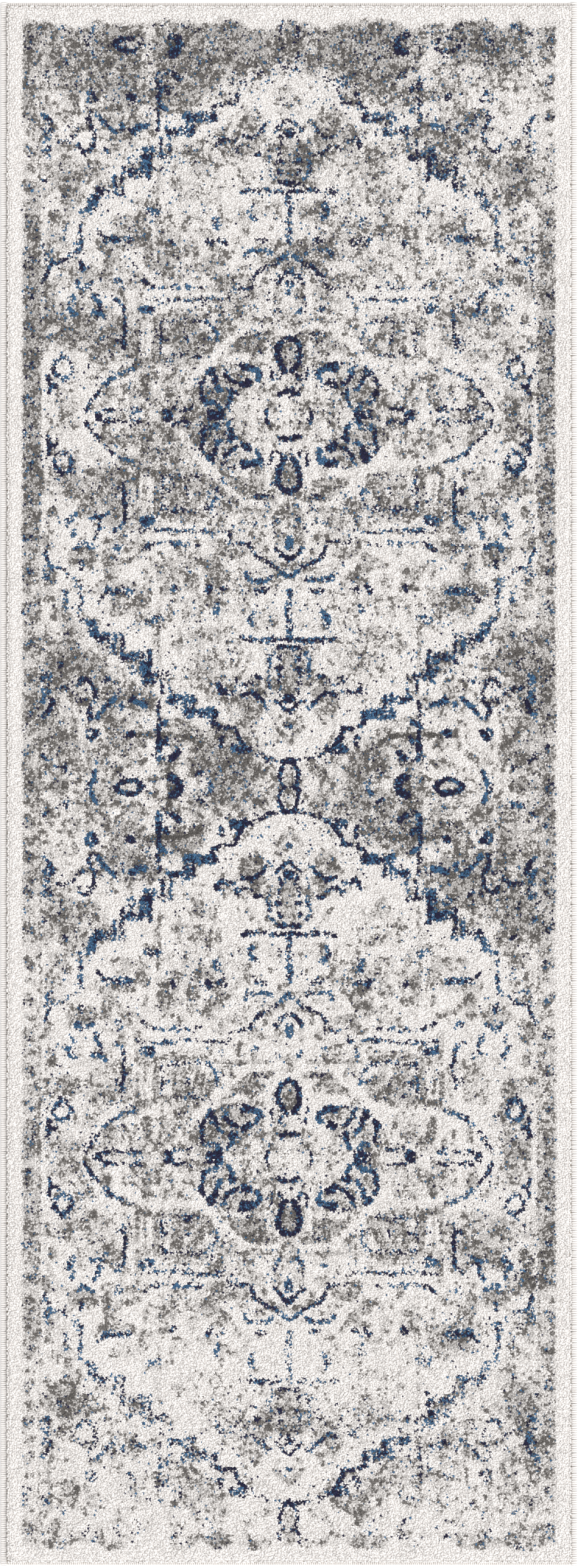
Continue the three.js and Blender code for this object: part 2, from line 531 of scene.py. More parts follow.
# One quarter of the repeat, in millimetres: u out from the rug's long axis, v from the middle of
# a medallion towards the middle between two. A stroke is a yarn, a width, the share of its
# tufts that still show it, before PointPaper.freshness, and the points that it runs through.
NAVY, BLUE, GREY = Yarn.NAVY, Yarn.BLUE, Yarn.CHARCOAL
STROKES = [
    # guard line inside the border
    (GREY, 3, 0.6, [(340, 0), (340, 507)]),
    # medallion heart and the large rosette leaf
    (NAVY, 4, 0.8, [(31, 0), (29, 10)]),
    (GREY, 8, 0.7, [(24, 13), (26, 17)]),
    (NAVY, 7, 0.7, [(3, 32), (13, 29)]),
    (GREY, 6, 0.6, [(0, 33), (14, 31)]),
    (NAVY, 8, 0.8, [(5, 60), (9, 65), (13, 74), (15, 84), (14, 94), (9, 101), (0, 105)]),
    (GREY, 18, 0.6, [(0, 74), (2, 92)]),
    (NAVY, 5, 0.4, [(13, 54), (9, 60)]),
    (NAVY, 4, 0.6, [(23, 50), (25, 66)]),
    (NAVY, 4, 0.6, [(12, 52), (16, 49)]),
    (BLUE, 7, 0.7, [(83, 13), (78, 20), (79, 34)]),
    (NAVY, 5, 0.6, [(79, 22), (80, 34), (72, 29)]),
    (NAVY, 9, 0.6, [(93, 3), (108, 3)]),
    (GREY, 14, 0.45, [(100, 10), (110, 12)]),
    (GREY, 12, 0.4, [(118, 1), (122, 12)]),
    (GREY, 8, 0.4, [(56, 5), (64, 7)]),
    (BLUE, 8, 0.5, [(92, 7), (100, 17), (113, 17)]),
    (NAVY, 6, 0.85, [(117, 20), (118, 36), (121, 43), (116, 50)]),
    (NAVY, 7, 0.8, [(100, 45), (101, 54), (108, 56), (104, 62)]),
    (BLUE, 6, 0.6, [(106, 64), (112, 57)]),
    (GREY, 6, 0.4, [(98, 64), (91, 80)]),
    (BLUE, 7, 0.7, [(92, 34), (97, 39)]),
    (NAVY, 11, 0.7, [(55, 45), (62, 41)]),
    (GREY, 8, 0.5, [(60, 25), (62, 34)]),
    (GREY, 8, 0.6, [(61, 36), (67, 31)]),
    (NAVY, 7, 0.7, [(73, 44), (79, 47), (88, 56)]),
    (BLUE, 7, 0.8, [(39, 57), (43, 49)]),
    (BLUE, 9, 0.8, [(42, 61), (52, 65), (63, 65)]),
    (NAVY, 8, 0.5, [(56, 67), (62, 63)]),
    (NAVY, 6, 0.6, [(50, 68), (62, 71)]),
    (NAVY, 4, 0.3, [(66, 71), (84, 70)]),
    (BLUE, 5, 0.5, [(85, 60), (91, 66)]),
    (GREY, 18, 0.35, [(56, 55), (80, 62)]),
    (GREY, 16, 0.3, [(100, 26), (110, 44)]),
    # grey ground inside the octagon
    (GREY, 14, 0.55, [(56, 92), (74, 92)]),
    (GREY, 12, 0.5, [(50, 100), (62, 102)]),
    (GREY, 10, 0.6, [(24, 113), (54, 111)]),
    (NAVY, 7, 0.3, [(32, 111), (46, 112)]),
    (GREY, 6, 0.7, [(43, 98), (47, 106)]),
    (GREY, 7, 0.6, [(76, 112), (82, 125)]),
    (GREY, 7, 0.5, [(26, 130), (98, 131)]),
    (GREY, 7, 0.45, [(49, 126), (49, 140)]),
    (GREY, 8, 0.4, [(1, 120), (2, 138)]),
    # stroke towards the side motif
    (NAVY, 5, 0.6, [(134, 12), (143, 8), (158, 11)]),
    (NAVY, 10, 0.85, [(162, 3), (167, 5)]),
    (GREY, 8, 0.5, [(145, 13), (149, 16)]),
    (NAVY, 5, 0.55, [(203, 8), (216, 12)]),
    (BLUE, 4, 0.5, [(203, 6), (216, 5)]),
    (NAVY, 4, 0.45, [(222, 8), (238, 8)]),
    (NAVY, 8, 0.6, [(240, 8), (250, 8)]),
    (NAVY, 9, 0.85, [(258, 2), (261, 3)]),
    (GREY, 13, 0.75, [(193, 27), (196, 50)]),
    (GREY, 10, 0.7, [(247, 24), (247, 38)]),
    (GREY, 6, 0.5, [(158, 28), (159, 40)]),
    (GREY, 6, 0.5, [(176, 16), (177, 36)]),
    (GREY, 6, 0.4, [(141, 28), (142, 36)]),
    (GREY, 9, 0.4, [(145, 42), (149, 54)]),
    (GREY, 9, 0.45, [(166, 46), (169, 54)]),
    (GREY, 9, 0.4, [(213, 16), (213, 30)]),
    (GREY, 5, 0.4, [(225, 18), (225, 38)]),
    # octagon's diagonal ladder
    (NAVY, 6, 0.6, [(277, 8), (269, 22), (259, 33)]),
    (BLUE, 6, 0.5, [(252, 42), (243, 50), (234, 57), (214, 63)]),
    (NAVY, 5, 0.5, [(244, 50), (242, 53)]),
    (GREY, 7, 0.5, [(225, 62), (206, 66)]),
    (GREY, 10, 0.75, [(192, 75), (207, 74)]),
    (GREY, 5, 0.4, [(197, 84), (197, 128)]),
    (GREY, 7, 0.65, [(207, 82), (208, 114)]),
    (GREY, 5, 0.45, [(218, 84), (218, 125)]),
    (GREY, 7, 0.6, [(206, 128), (206, 148)]),
    # square compartment
    (GREY, 14, 0.45, [(108, 98), (112, 86), (160, 76)]),
    (NAVY, 7, 0.25, [(117, 81), (160, 83)]),
    (NAVY, 6, 0.3, [(136, 85), (149, 84)]),
    (GREY, 9, 0.65, [(182, 78), (181, 133)]),
    (NAVY, 4, 0.5, [(174, 84), (174, 127)]),
    (NAVY, 7, 0.35, [(114, 128), (130, 130), (172, 127)]),
    (NAVY, 7, 0.45, [(144, 128), (158, 129)]),
    (BLUE, 5, 0.55, [(99, 101), (99, 113), (105, 122), (113, 128)]),
    (BLUE, 4, 0.4, [(104, 102), (112, 106)]),
    (GREY, 7, 0.9, [(117, 101), (118, 109)]),
    (GREY, 20, 0.5, [(150, 92), (150, 116)]),
    (GREY, 12, 0.45, [(124, 92), (126, 118)]),
    (NAVY, 5, 0.5, [(138, 99), (139, 107)]),
    (NAVY, 5, 0.45, [(164, 103), (171, 104)]),
    (GREY, 8, 0.6, [(112, 135), (172, 137)]),
    (GREY, 5, 0.45, [(118, 144), (162, 144)]),
    (GREY, 6, 0.45, [(107, 142), (110, 150)]),
    (GREY, 8, 0.5, [(190, 128), (193, 133)]),
    # small beads under the compartment
    (BLUE, 8, 0.5, [(13, 140), (16, 144)]),
    (BLUE, 7, 0.5, [(46, 146), (49, 147)]),
    (BLUE, 5, 0.35, [(93, 138), (93, 146)]),
    # line of the inner medallion, stepping down to the axis
    (NAVY, 5, 0.25, [(206, 158), (188, 158), (160, 158), (128, 160), (100, 157), (84, 158)]),
    (NAVY, 5, 0.4, [(82, 158), (82, 170), (80, 174), (66, 173)]),
    (NAVY, 6, 0.6, [(66, 173), (52, 174), (49, 186), (44, 193)]),
    (NAVY, 6, 0.65, [(43, 194), (32, 201), (18, 206)]),
    (BLUE, 7, 0.65, [(14, 211), (7, 217), (0, 221)]),
    (BLUE, 5, 0.4, [(184, 155), (100, 160)]),
    (NAVY, 7, 0.5, [(188, 145), (191, 143)]),
    (BLUE, 14, 0.65, [(190, 144), (198, 146)]),
    (NAVY, 5, 0.6, [(120, 176), (125, 177)]),
    (BLUE, 6, 0.6, [(136, 174), (141, 177)]),
    (BLUE, 8, 0.65, [(150, 174), (157, 176)]),
    (BLUE, 4, 0.4, [(160, 173), (180, 174)]),
    (NAVY, 6, 0.6, [(183, 175), (192, 178), (199, 184)]),
    (GREY, 9, 0.6, [(152, 181), (148, 189)]),
    # buds on the axis
    (NAVY, 4, 0.25, [(20, 148), (20, 162)]),
    (GREY, 8, 0.45, [(16, 160), (17, 178)]),
    (NAVY, 7, 0.75, [(18, 181), (11, 188), (0, 198)]),
    (BLUE, 8, 0.75, [(1, 168), (2, 180)]),
    (GREY, 13, 0.5, [(10, 205), (22, 204)]),
    (GREY, 14, 0.45, [(40, 166), (46, 172)]),
    (GREY, 8, 0.65, [(32, 183), (33, 187)]),
    (GREY, 8, 0.5, [(24, 197), (36, 197)]),
    (GREY, 7, 0.4, [(36, 214), (46, 214)]),
    (GREY, 7, 0.4, [(12, 226), (18, 224)]),
    (GREY, 13, 0.5, [(64, 187), (80, 190)]),
    (GREY, 8, 0.35, [(56, 203), (68, 202)]),
    (GREY, 9, 0.65, [(95, 172), (92, 188)]),
    (GREY, 10, 0.55, [(103, 192), (115, 199)]),
    (GREY, 9, 0.5, [(123, 200), (130, 205)]),
    (BLUE, 6, 0.65, [(24, 221), (33, 225), (46, 225), (56, 225), (60, 216)]),
    (NAVY, 8, 0.55, [(33, 238), (43, 240)]),
    (GREY, 6, 0.35, [(40, 246), (60, 248)]),
    (GREY, 6, 0.5, [(25, 252), (26, 256)]),
    # spandrel behind the medallion
    (GREY, 15, 0.6, [(96, 208), (107, 208)]),
    (GREY, 13, 0.6, [(86, 217), (96, 226)]),
    (GREY, 7, 0.45, [(77, 226), (68, 242)]),
    (GREY, 13, 0.5, [(109, 249), (120, 250)]),
    (GREY, 8, 0.4, [(136, 253), (156, 249)]),
    (GREY, 8, 0.45, [(118, 263), (121, 267)]),
    (GREY, 7, 0.4, [(142, 258), (142, 270)]),
    (GREY, 9, 0.35, [(160, 260), (164, 278)]),
    (GREY, 14, 0.35, [(130, 222), (134, 236)]),
    (NAVY, 8, 0.5, [(87, 235), (96, 240)]),
    (NAVY, 9, 0.8, [(106, 235), (110, 240)]),
    (NAVY, 8, 0.8, [(157, 233), (159, 237)]),
    (GREY, 9, 0.9, [(166, 234), (173, 236)]),
    (GREY, 12, 0.5, [(158, 212), (176, 218)]),
    (GREY, 9, 0.55, [(168, 214), (168, 228)]),
    (GREY, 10, 0.4, [(200, 130), (206, 168)]),
    # carnation stem and leaf
    (NAVY, 5, 0.85, [(226, 92), (227, 101), (224, 110), (224, 128), (226, 146)]),
    (NAVY, 5, 0.5, [(227, 101), (235, 100), (235, 106)]),
    (BLUE, 6, 0.55, [(226, 147), (230, 152), (238, 156)]),
    (BLUE, 7, 0.65, [(249, 134), (256, 139), (268, 141)]),
    (NAVY, 5, 0.6, [(257, 142), (259, 150)]),
    (BLUE, 7, 0.6, [(258, 153), (262, 160), (264, 167)]),
    (BLUE, 5, 0.4, [(227, 178), (230, 186), (236, 184), (233, 176)]),
    (GREY, 22, 0.28, [(246, 84), (250, 122)]),
    (GREY, 14, 0.35, [(266, 84), (264, 130)]),
    # ring and hook in the corner
    (BLUE, 6, 0.6, [
        (296, 63), (300, 54), (308, 50), (316, 54), (320, 63), (317, 73), (308, 79), (299, 74),
        (296, 63),
    ]),
    (NAVY, 6, 0.55, [(320, 60), (321, 68), (313, 76), (311, 82)]),
    (NAVY, 5, 0.45, [(296, 66), (302, 76)]),
    (NAVY, 6, 0.9, [(328, 29), (326, 40), (327, 52)]),
    (NAVY, 6, 0.8, [(318, 40), (326, 40)]),
    (GREY, 18, 0.4, [(300, 8), (312, 20)]),
    (GREY, 14, 0.45, [(296, 94), (302, 106)]),
    (GREY, 12, 0.75, [(322, 129), (322, 134)]),
    (BLUE, 8, 0.6, [(293, 137), (300, 146), (301, 150)]),
    (BLUE, 7, 0.5, [(293, 158), (296, 164)]),
    # clover
    (GREY, 22, 0.6, [(273, 190), (292, 191)]),
    (GREY, 9, 0.5, [(264, 196), (272, 204)]),
    (GREY, 8, 0.4, [(290, 200), (300, 208)]),
    (BLUE, 8, 0.6, [(269, 181), (277, 176)]),
    (BLUE, 8, 0.6, [(284, 174), (289, 182)]),
    (NAVY, 7, 0.65, [(282, 199), (283, 208)]),
    (GREY, 15, 0.6, [(249, 194), (245, 218)]),
    (GREY, 10, 0.4, [(228, 198), (238, 210)]),
    (GREY, 7, 0.5, [(196, 208), (196, 220)]),
    (GREY, 9, 0.5, [(204, 192), (218, 198)]),
    # bar above the steps
    (NAVY, 7, 0.35, [(215, 240), (226, 239), (246, 241)]),
    (BLUE, 11, 0.5, [(218, 241), (248, 240)]),
    (NAVY, 6, 0.6, [(250, 242), (260, 252)]),
    (GREY, 10, 0.5, [(212, 231), (254, 230)]),
    (GREY, 8, 0.4, [(257, 228), (262, 240)]),
    (GREY, 14, 0.45, [(198, 240), (205, 262)]),
    (GREY, 12, 0.4, [(210, 266), (240, 268)]),
    # stepped outline of the large medallion
    (BLUE, 5, 0.5, [(335, 183), (331, 194), (327, 204), (323, 209), (313, 209)]),
    (GREY, 11, 0.75, [(333, 166), (329, 179)]),
    (GREY, 15, 0.4, [(326, 214), (327, 248)]),
    (BLUE, 5, 0.4, [(331, 206), (333, 222)]),
    (NAVY, 5, 0.45, [(333, 186), (328, 199), (325, 206)]),
    (NAVY, 5, 0.45, [(314, 209), (308, 210), (303, 217)]),
    (BLUE, 5, 0.35, [(300, 220), (288, 223), (284, 228)]),
    (BLUE, 6, 0.35, [(290, 226), (291, 234)]),
    (BLUE, 6, 0.5, [(284, 230), (284, 246), (284, 266)]),
    (NAVY, 4, 0.35, [(283, 232), (284, 264)]),
    (BLUE, 6, 0.4, [(284, 266), (284, 276)]),
    (BLUE, 14, 0.7, [(269, 285), (266, 296)]),
    (BLUE, 9, 0.4, [(276, 280), (282, 279)]),
    (NAVY, 7, 0.5, [(263, 296), (261, 308)]),
    (NAVY, 11, 0.35, [(246, 306), (256, 306)]),
    (NAVY, 9, 0.7, [(257, 304), (260, 307)]),
    (GREY, 7, 0.5, [(244, 316), (262, 315)]),
    (BLUE, 6, 0.35, [(224, 300), (256, 299)]),
    (NAVY, 6, 0.65, [(226, 303), (227, 337)]),
    (BLUE, 6, 0.65, [(237, 303), (238, 324)]),
    (NAVY, 9, 0.4, [(201, 329), (218, 330)]),
    (BLUE, 12, 0.45, [(203, 328), (219, 330)]),
    (NAVY, 8, 0.5, [(213, 332), (214, 333)]),
    (BLUE, 15, 0.6, [(196, 334), (196, 350)]),
    (NAVY, 6, 0.85, [(190, 322), (190, 352)]),
    (NAVY, 8, 0.4, [(162, 353), (184, 354)]),
    (NAVY, 8, 0.6, [(188, 354), (198, 353)]),
    (GREY, 9, 0.5, [(120, 344), (130, 352)]),
    (BLUE, 8, 0.4, [(184, 363), (197, 364)]),
    (BLUE, 6, 0.6, [(186, 360), (196, 362)]),
    (BLUE, 4, 0.45, [(209, 348), (213, 342), (220, 344), (221, 351), (214, 354), (209, 348)]),
    (GREY, 7, 0.6, [(161, 358), (166, 363)]),
    (BLUE, 4, 0.5, [(161, 360), (161, 380)]),
    (NAVY, 5, 0.6, [(173, 358), (173, 377)]),
    (BLUE, 13, 0.4, [(134, 387), (162, 388)]),
    (NAVY, 9, 0.55, [(154, 387), (160, 388)]),
    (NAVY, 4, 0.7, [(131, 382), (131, 399)]),
    (BLUE, 5, 0.6, [(139, 381), (139, 398)]),
    (BLUE, 14, 0.5, [(104, 406), (140, 407)]),
    (NAVY, 7, 0.6, [(102, 404), (104, 414)]),
    (NAVY, 6, 0.35, [(118, 405), (136, 404)]),
    (GREY, 6, 0.35, [(142, 416), (166, 414)]),
    (NAVY, 6, 0.7, [(104, 419), (94, 424)]),
    (NAVY, 6, 0.6, [(87, 426), (73, 426), (72, 434), (66, 444), (60, 452)]),
    (NAVY, 5, 0.5, [(77, 449), (78, 452)]),
    (GREY, 6, 0.4, [(62, 434), (52, 450)]),
    (NAVY, 9, 0.5, [(53, 456), (62, 458), (68, 458)]),
    (BLUE, 10, 0.5, [(66, 450), (76, 456)]),
    (NAVY, 5, 0.35, [(50, 460), (38, 463), (28, 469), (8, 471)]),
    (NAVY, 5, 0.4, [(38, 462), (42, 465)]),
    (GREY, 7, 0.5, [(30, 481), (34, 487)]),
    (NAVY, 8, 0.85, [(0, 471), (7, 473)]),
    # chain on the axis, between two repeats
    (NAVY, 6, 0.55, [(6, 474), (11, 482), (13, 492), (12, 501), (5, 506)]),
    (GREY, 12, 0.35, [(0, 484), (3, 498)]),
    (GREY, 9, 0.45, [(0, 500), (6, 502)]),
    (GREY, 8, 0.45, [(17, 427), (10, 435), (0, 441)]),
    (BLUE, 6, 0.6, [(0, 425), (2, 424)]),
    # T on the axis
    (BLUE, 9, 0.6, [(0, 240), (0, 302)]),
    (NAVY, 3, 0.4, [(0, 242), (0, 300)]),
    (NAVY, 6, 0.6, [(0, 306), (20, 306), (36, 308), (56, 307), (64, 302)]),
    (BLUE, 6, 0.45, [(12, 304), (30, 305), (48, 305), (53, 301)]),
    (GREY, 6, 0.4, [(38, 311), (40, 320)]),
    (GREY, 7, 0.4, [(50, 326), (58, 338)]),
    (NAVY, 6, 0.8, [(0, 317), (14, 316)]),
    (GREY, 24, 0.12, [(18, 274), (34, 284)]),
    (BLUE, 8, 0.7, [(47, 269), (54, 277), (51, 286)]),
    (GREY, 8, 0.7, [(43, 289), (47, 290)]),
    (BLUE, 9, 0.55, [(98, 258), (99, 268)]),
    (GREY, 8, 0.35, [(90, 264), (94, 284)]),
    (GREY, 8, 0.3, [(63, 262), (64, 282)]),
    (GREY, 7, 0.3, [(70, 266), (88, 266)]),
    (GREY, 9, 0.4, [(58, 244), (60, 262)]),
    # palmette
    (BLUE, 6, 0.45, [(20, 322), (27, 330), (27, 356)]),
    (GREY, 8, 0.3, [(30, 324), (30, 340)]),
    (BLUE, 4, 0.3, [(26, 360), (26, 382)]),
    (GREY, 16, 0.5, [(3, 328), (3, 374)]),
    (NAVY, 6, 0.55, [(13, 328), (14, 333)]),
    (NAVY, 8, 0.8, [(12, 346), (15, 347)]),
    (NAVY, 5, 0.5, [(14, 350), (14, 366)]),
    (NAVY, 5, 0.5, [(10, 371), (12, 382)]),
    (NAVY, 9, 0.85, [(2, 383), (4, 387)]),
    (NAVY, 6, 0.6, [(18, 389), (8, 398), (0, 404)]),
    # scroll leaf
    (NAVY, 6, 0.7, [(40, 356), (46, 356)]),
    (NAVY, 6, 0.45, [(51, 364), (58, 368), (66, 366)]),
    (GREY, 14, 0.65, [(46, 362), (46, 374), (37, 378)]),
    (NAVY, 6, 0.6, [(70, 359), (74, 364)]),
    (GREY, 5, 0.45, [(76, 364), (84, 367)]),
    (NAVY, 8, 0.6, [(97, 367), (95, 374), (90, 377)]),
    (NAVY, 6, 0.4, [(92, 377), (74, 376)]),
    (BLUE, 5, 0.4, [(90, 374), (74, 374)]),
    (NAVY, 6, 0.65, [(51, 378), (45, 383), (37, 390)]),
    (BLUE, 6, 0.65, [(36, 389), (33, 396)]),
    (BLUE, 6, 0.45, [(27, 398), (29, 402)]),
    (NAVY, 6, 0.65, [(52, 379), (60, 380), (64, 382)]),
    (GREY, 12, 0.6, [(54, 389), (64, 394)]),
    (GREY, 6, 0.5, [(42, 410), (47, 418)]),
    (GREY, 7, 0.35, [(12, 412), (16, 416)]),
    (GREY, 10, 0.45, [(40, 404), (60, 402)]),
    # field between medallion and axis
    (GREY, 7, 0.5, [(96, 294), (95, 310)]),
    (GREY, 5, 0.5, [(100, 328), (100, 338)]),
    (GREY, 16, 0.35, [(106, 294), (134, 302)]),
    (GREY, 16, 0.35, [(112, 330), (132, 336)]),
    (GREY, 7, 0.5, [(126, 346), (130, 352)]),
    (GREY, 6, 0.5, [(149, 294), (149, 325)]),
    (GREY, 8, 0.65, [(155, 311), (158, 313)]),
    (GREY, 6, 0.45, [(178, 256), (178, 310), (176, 340)]),
    (GREY, 7, 0.45, [(183, 300), (184, 308)]),
    (GREY, 6, 0.4, [(122, 315), (156, 316)]),
    (BLUE, 10, 0.5, [(178, 277), (192, 280)]),
    (GREY, 7, 0.5, [(184, 286), (194, 288)]),
    (NAVY, 6, 0.6, [(91, 438), (94, 440)]),
    (NAVY, 6, 0.6, [(91, 446), (93, 450)]),
    (GREY, 8, 0.75, [(120, 450), (132, 440), (146, 436), (176, 436), (206, 437)]),
    (GREY, 9, 0.4, [(146, 450), (158, 452)]),
    (GREY, 9, 0.65, [(198, 450), (207, 443)]),
    (NAVY, 11, 0.9, [(214, 434), (216, 435)]),
    (NAVY, 6, 0.5, [(177, 390), (178, 414)]),
    (BLUE, 8, 0.7, [(168, 418), (174, 421)]),
    (NAVY, 6, 0.8, [(178, 424), (178, 436)]),
    (NAVY, 8, 0.7, [(177, 442), (177, 454)]),
    (BLUE, 8, 0.5, [(177, 456), (177, 468)]),
    (NAVY, 6, 0.4, [(168, 468), (171, 472)]),
    (NAVY, 7, 0.6, [(166, 441), (170, 447)]),
    (NAVY, 9, 0.9, [(151, 459), (159, 467)]),
    (NAVY, 11, 0.9, [(148, 505), (151, 498), (160, 494)]),
    (GREY, 9, 0.7, [(164, 476), (164, 492)]),
    (GREY, 12, 0.8, [(152, 504), (162, 503)]),
    (GREY, 8, 0.4, [(184, 494), (192, 497)]),
    (GREY, 10, 0.5, [(94, 468), (102, 474)]),
    (GREY, 8, 0.6, [(182, 384), (192, 389)]),
    (GREY, 8, 0.5, [(208, 400), (212, 412)]),
    (GREY, 8, 0.4, [(186, 399), (200, 401)]),
    (BLUE, 9, 0.65, [(196, 394), (206, 393), (214, 388)]),
    (NAVY, 5, 0.6, [(212, 386), (216, 390)]),
    (NAVY, 7, 0.8, [(199, 507), (205, 500), (212, 496), (226, 498), (234, 502), (238, 507)]),
    (GREY, 12, 0.35, [(208, 505), (228, 505)]),
    (NAVY, 6, 0.4, [(120, 485), (127, 489)]),
    (BLUE, 6, 0.4, [(106, 504), (112, 494)]),
    (BLUE, 7, 0.55, [(265, 485), (270, 502)]),
    (GREY, 7, 0.4, [(262, 482), (268, 496)]),
    (NAVY, 5, 0.5, [(274, 506), (276, 502)]),
    # big leaf and star near the border
    (NAVY, 6, 0.6, [
        (286, 368), (284, 361), (277, 360), (270, 364), (265, 375), (264, 387), (271, 396), (274, 405),
        (270, 413),
    ]),
    (GREY, 9, 0.6, [(271, 390), (280, 393)]),
    (GREY, 8, 0.5, [(282, 390), (295, 384)]),
    (BLUE, 5, 0.4, [(286, 365), (288, 370)]),
    (BLUE, 7, 0.6, [(236, 384), (244, 391), (253, 401), (262, 412)]),
    (GREY, 8, 0.5, [(258, 414), (270, 417)]),
    (NAVY, 4, 0.45, [(246, 395), (254, 402)]),
    (BLUE, 7, 0.5, [(227, 392), (228, 399)]),
    (GREY, 7, 0.55, [(216, 368), (216, 380)]),
    (GREY, 9, 0.45, [(228, 420), (228, 438)]),
    (GREY, 9, 0.4, [(229, 446), (233, 452)]),
    (NAVY, 5, 0.5, [(244, 357), (252, 364)]),
    (GREY, 7, 0.5, [(236, 362), (242, 368)]),
    (NAVY, 8, 0.85, [(264, 431), (268, 439)]),
    (BLUE, 5, 0.6, [(270, 427), (276, 431), (275, 439), (269, 442)]),
    (NAVY, 7, 0.4, [(292, 382), (298, 375), (306, 372), (317, 373)]),
    (GREY, 12, 0.4, [(296, 366), (316, 366)]),
    (NAVY, 6, 0.35, [(278, 389), (288, 389)]),
    (BLUE, 10, 0.45, [(328, 355), (334, 360)]),
    (NAVY, 6, 0.5, [(325, 360), (327, 367)]),
    (NAVY, 8, 0.7, [(323, 388), (325, 396), (328, 403)]),
    (BLUE, 10, 0.5, [(329, 381), (333, 389)]),
    (BLUE, 7, 0.55, [(331, 405), (336, 409)]),
    (BLUE, 6, 0.5, [(328, 378), (335, 372)]),
    (NAVY, 5, 0.4, [(316, 331), (310, 339), (313, 346)]),
    (GREY, 9, 0.4, [(270, 329), (282, 327)]),
    (NAVY, 6, 0.4, [(334, 321), (335, 324)]),
    (NAVY, 4, 0.6, [(336, 464), (328, 472)]),
    (BLUE, 6, 0.35, [(318, 478), (304, 484)]),
    (NAVY, 5, 0.4, [(304, 477), (306, 481)]),
    (GREY, 16, 0.6, [(308, 504), (320, 504)]),
    (GREY, 10, 0.5, [(329, 504), (340, 504)]),
    (GREY, 7, 0.45, [(331, 480), (335, 487)]),
    (GREY, 8, 0.45, [(244, 462), (256, 470)]),
    (GREY, 8, 0.4, [(205, 470), (216, 473)]),
    (GREY, 8, 0.5, [(196, 472), (200, 476)]),
    (GREY, 7, 0.4, [(288, 497), (291, 501)]),
    (BLUE, 5, 0.4, [(322, 212), (330, 218), (329, 226), (318, 227)]),
    (BLUE, 7, 0.35, [(305, 242), (303, 262)]),
    # ladder beside the clover
    (GREY, 14, 0.5, [(300, 278), (303, 298), (299, 320)]),
    (NAVY, 6, 0.4, [(304, 298), (306, 301)]),
    (GREY, 12, 0.45, [(288, 292), (290, 312)]),
    (GREY, 18, 0.4, [(306, 262), (320, 272)]),
]
# Worn ground: the change in the share of grey tufts, the middle u and v, half-width, half-height.
WASHES = [
    (0.26, 146, 102, 34, 27),
    (0.16, 206, 76, 20, 12),
    (0.10, 90, 34, 34, 32),
    (0.10, 160, 28, 40, 26),
    (0.12, 226, 22, 40, 22),
    (0.14, 256, 108, 22, 36),
    (0.12, 310, 12, 30, 20),
    (0.14, 306, 96, 22, 16),
    (0.14, 50, 98, 34, 16),
    (0.12, 230, 124, 14, 34),
    (0.12, 70, 172, 40, 14),
    (0.12, 44, 215, 30, 16),
    (0.16, 104, 215, 20, 24),
    (0.12, 168, 220, 26, 20),
    (0.12, 136, 228, 14, 18),
    (0.12, 122, 192, 40, 12),
    (0.16, 205, 250, 24, 20),
    (0.06, 240, 262, 30, 10),
    (0.12, 244, 205, 12, 18),
    (0.10, 324, 240, 14, 24),
    (0.14, 296, 300, 14, 30),
    (0.20, 292, 336, 34, 16),
    (0.26, 318, 330, 26, 40),
    (0.24, 312, 436, 34, 50),
    (0.18, 256, 470, 48, 38),
    (0.10, 222, 446, 22, 14),
    (0.20, 112, 474, 38, 26),
    (0.14, 70, 492, 40, 18),
    (0.18, 150, 436, 50, 12),
    (0.14, 4, 350, 18, 40),
    (0.14, 60, 378, 44, 24),
    (0.10, 120, 330, 30, 40),
    (0.10, 215, 360, 30, 30),
    (0.14, 230, 400, 40, 24),
    (0.14, 8, 432, 18, 12),
    (0.12, 50, 408, 34, 10),
    (0.04, 28, 280, 22, 12),
    (0.12, 8, 205, 24, 8),
    (0.10, 8, 150, 16, 40),
    # patches left ivory
    (-0.34, 30, 250, 30, 12),
    (-0.42, 212, 211, 16, 16),
    (-0.42, 264, 214, 17, 16),
    (-0.26, 236, 280, 28, 13),
    (-0.26, 160, 312, 20, 36),
    (-0.34, 155, 401, 15, 9),
    (-0.34, 192, 410, 12, 12),
    (-0.30, 30, 430, 24, 26),
    (-0.26, 76, 206, 20, 13),
    (-0.22, 102, 276, 16, 10),
    (-0.22, 200, 306, 22, 12),
    (-0.26, 310, 150, 8, 26),
    (-0.24, 332, 266, 9, 22),
    (-0.20, 192, 486, 9, 26),
    (-0.20, 232, 462, 16, 12),
    (-0.24, 278, 374, 9, 12),
    (-0.30, 306, 388, 10, 9),
    (-0.24, 84, 402, 14, 12),
    (-0.20, 44, 330, 18, 16),
    (-0.20, 196, 100, 8, 24),
    (-0.20, 154, 210, 14, 6),
    (-0.22, 56, 440, 10, 10),
    (-0.22, 110, 418, 20, 5),
    (-0.30, 166, 92, 6, 8),
    (-0.30, 166, 115, 6, 7),
    (-0.30, 133, 106, 5, 5),
    (-0.24, 270, 254, 10, 14),
    (-0.20, 320, 296, 9, 12),
    (-0.20, 310, 224, 8, 10),
    (-0.22, 112, 374, 6, 12),
    (-0.20, 144, 478, 6, 9),
    (-0.20, 222, 410, 6, 8),
    (-0.20, 314, 409, 7, 8),
    (-0.18, 256, 442, 9, 13),
    (-0.24, 15, 126, 4, 12),
    (-0.20, 308, 62, 6, 7),
]
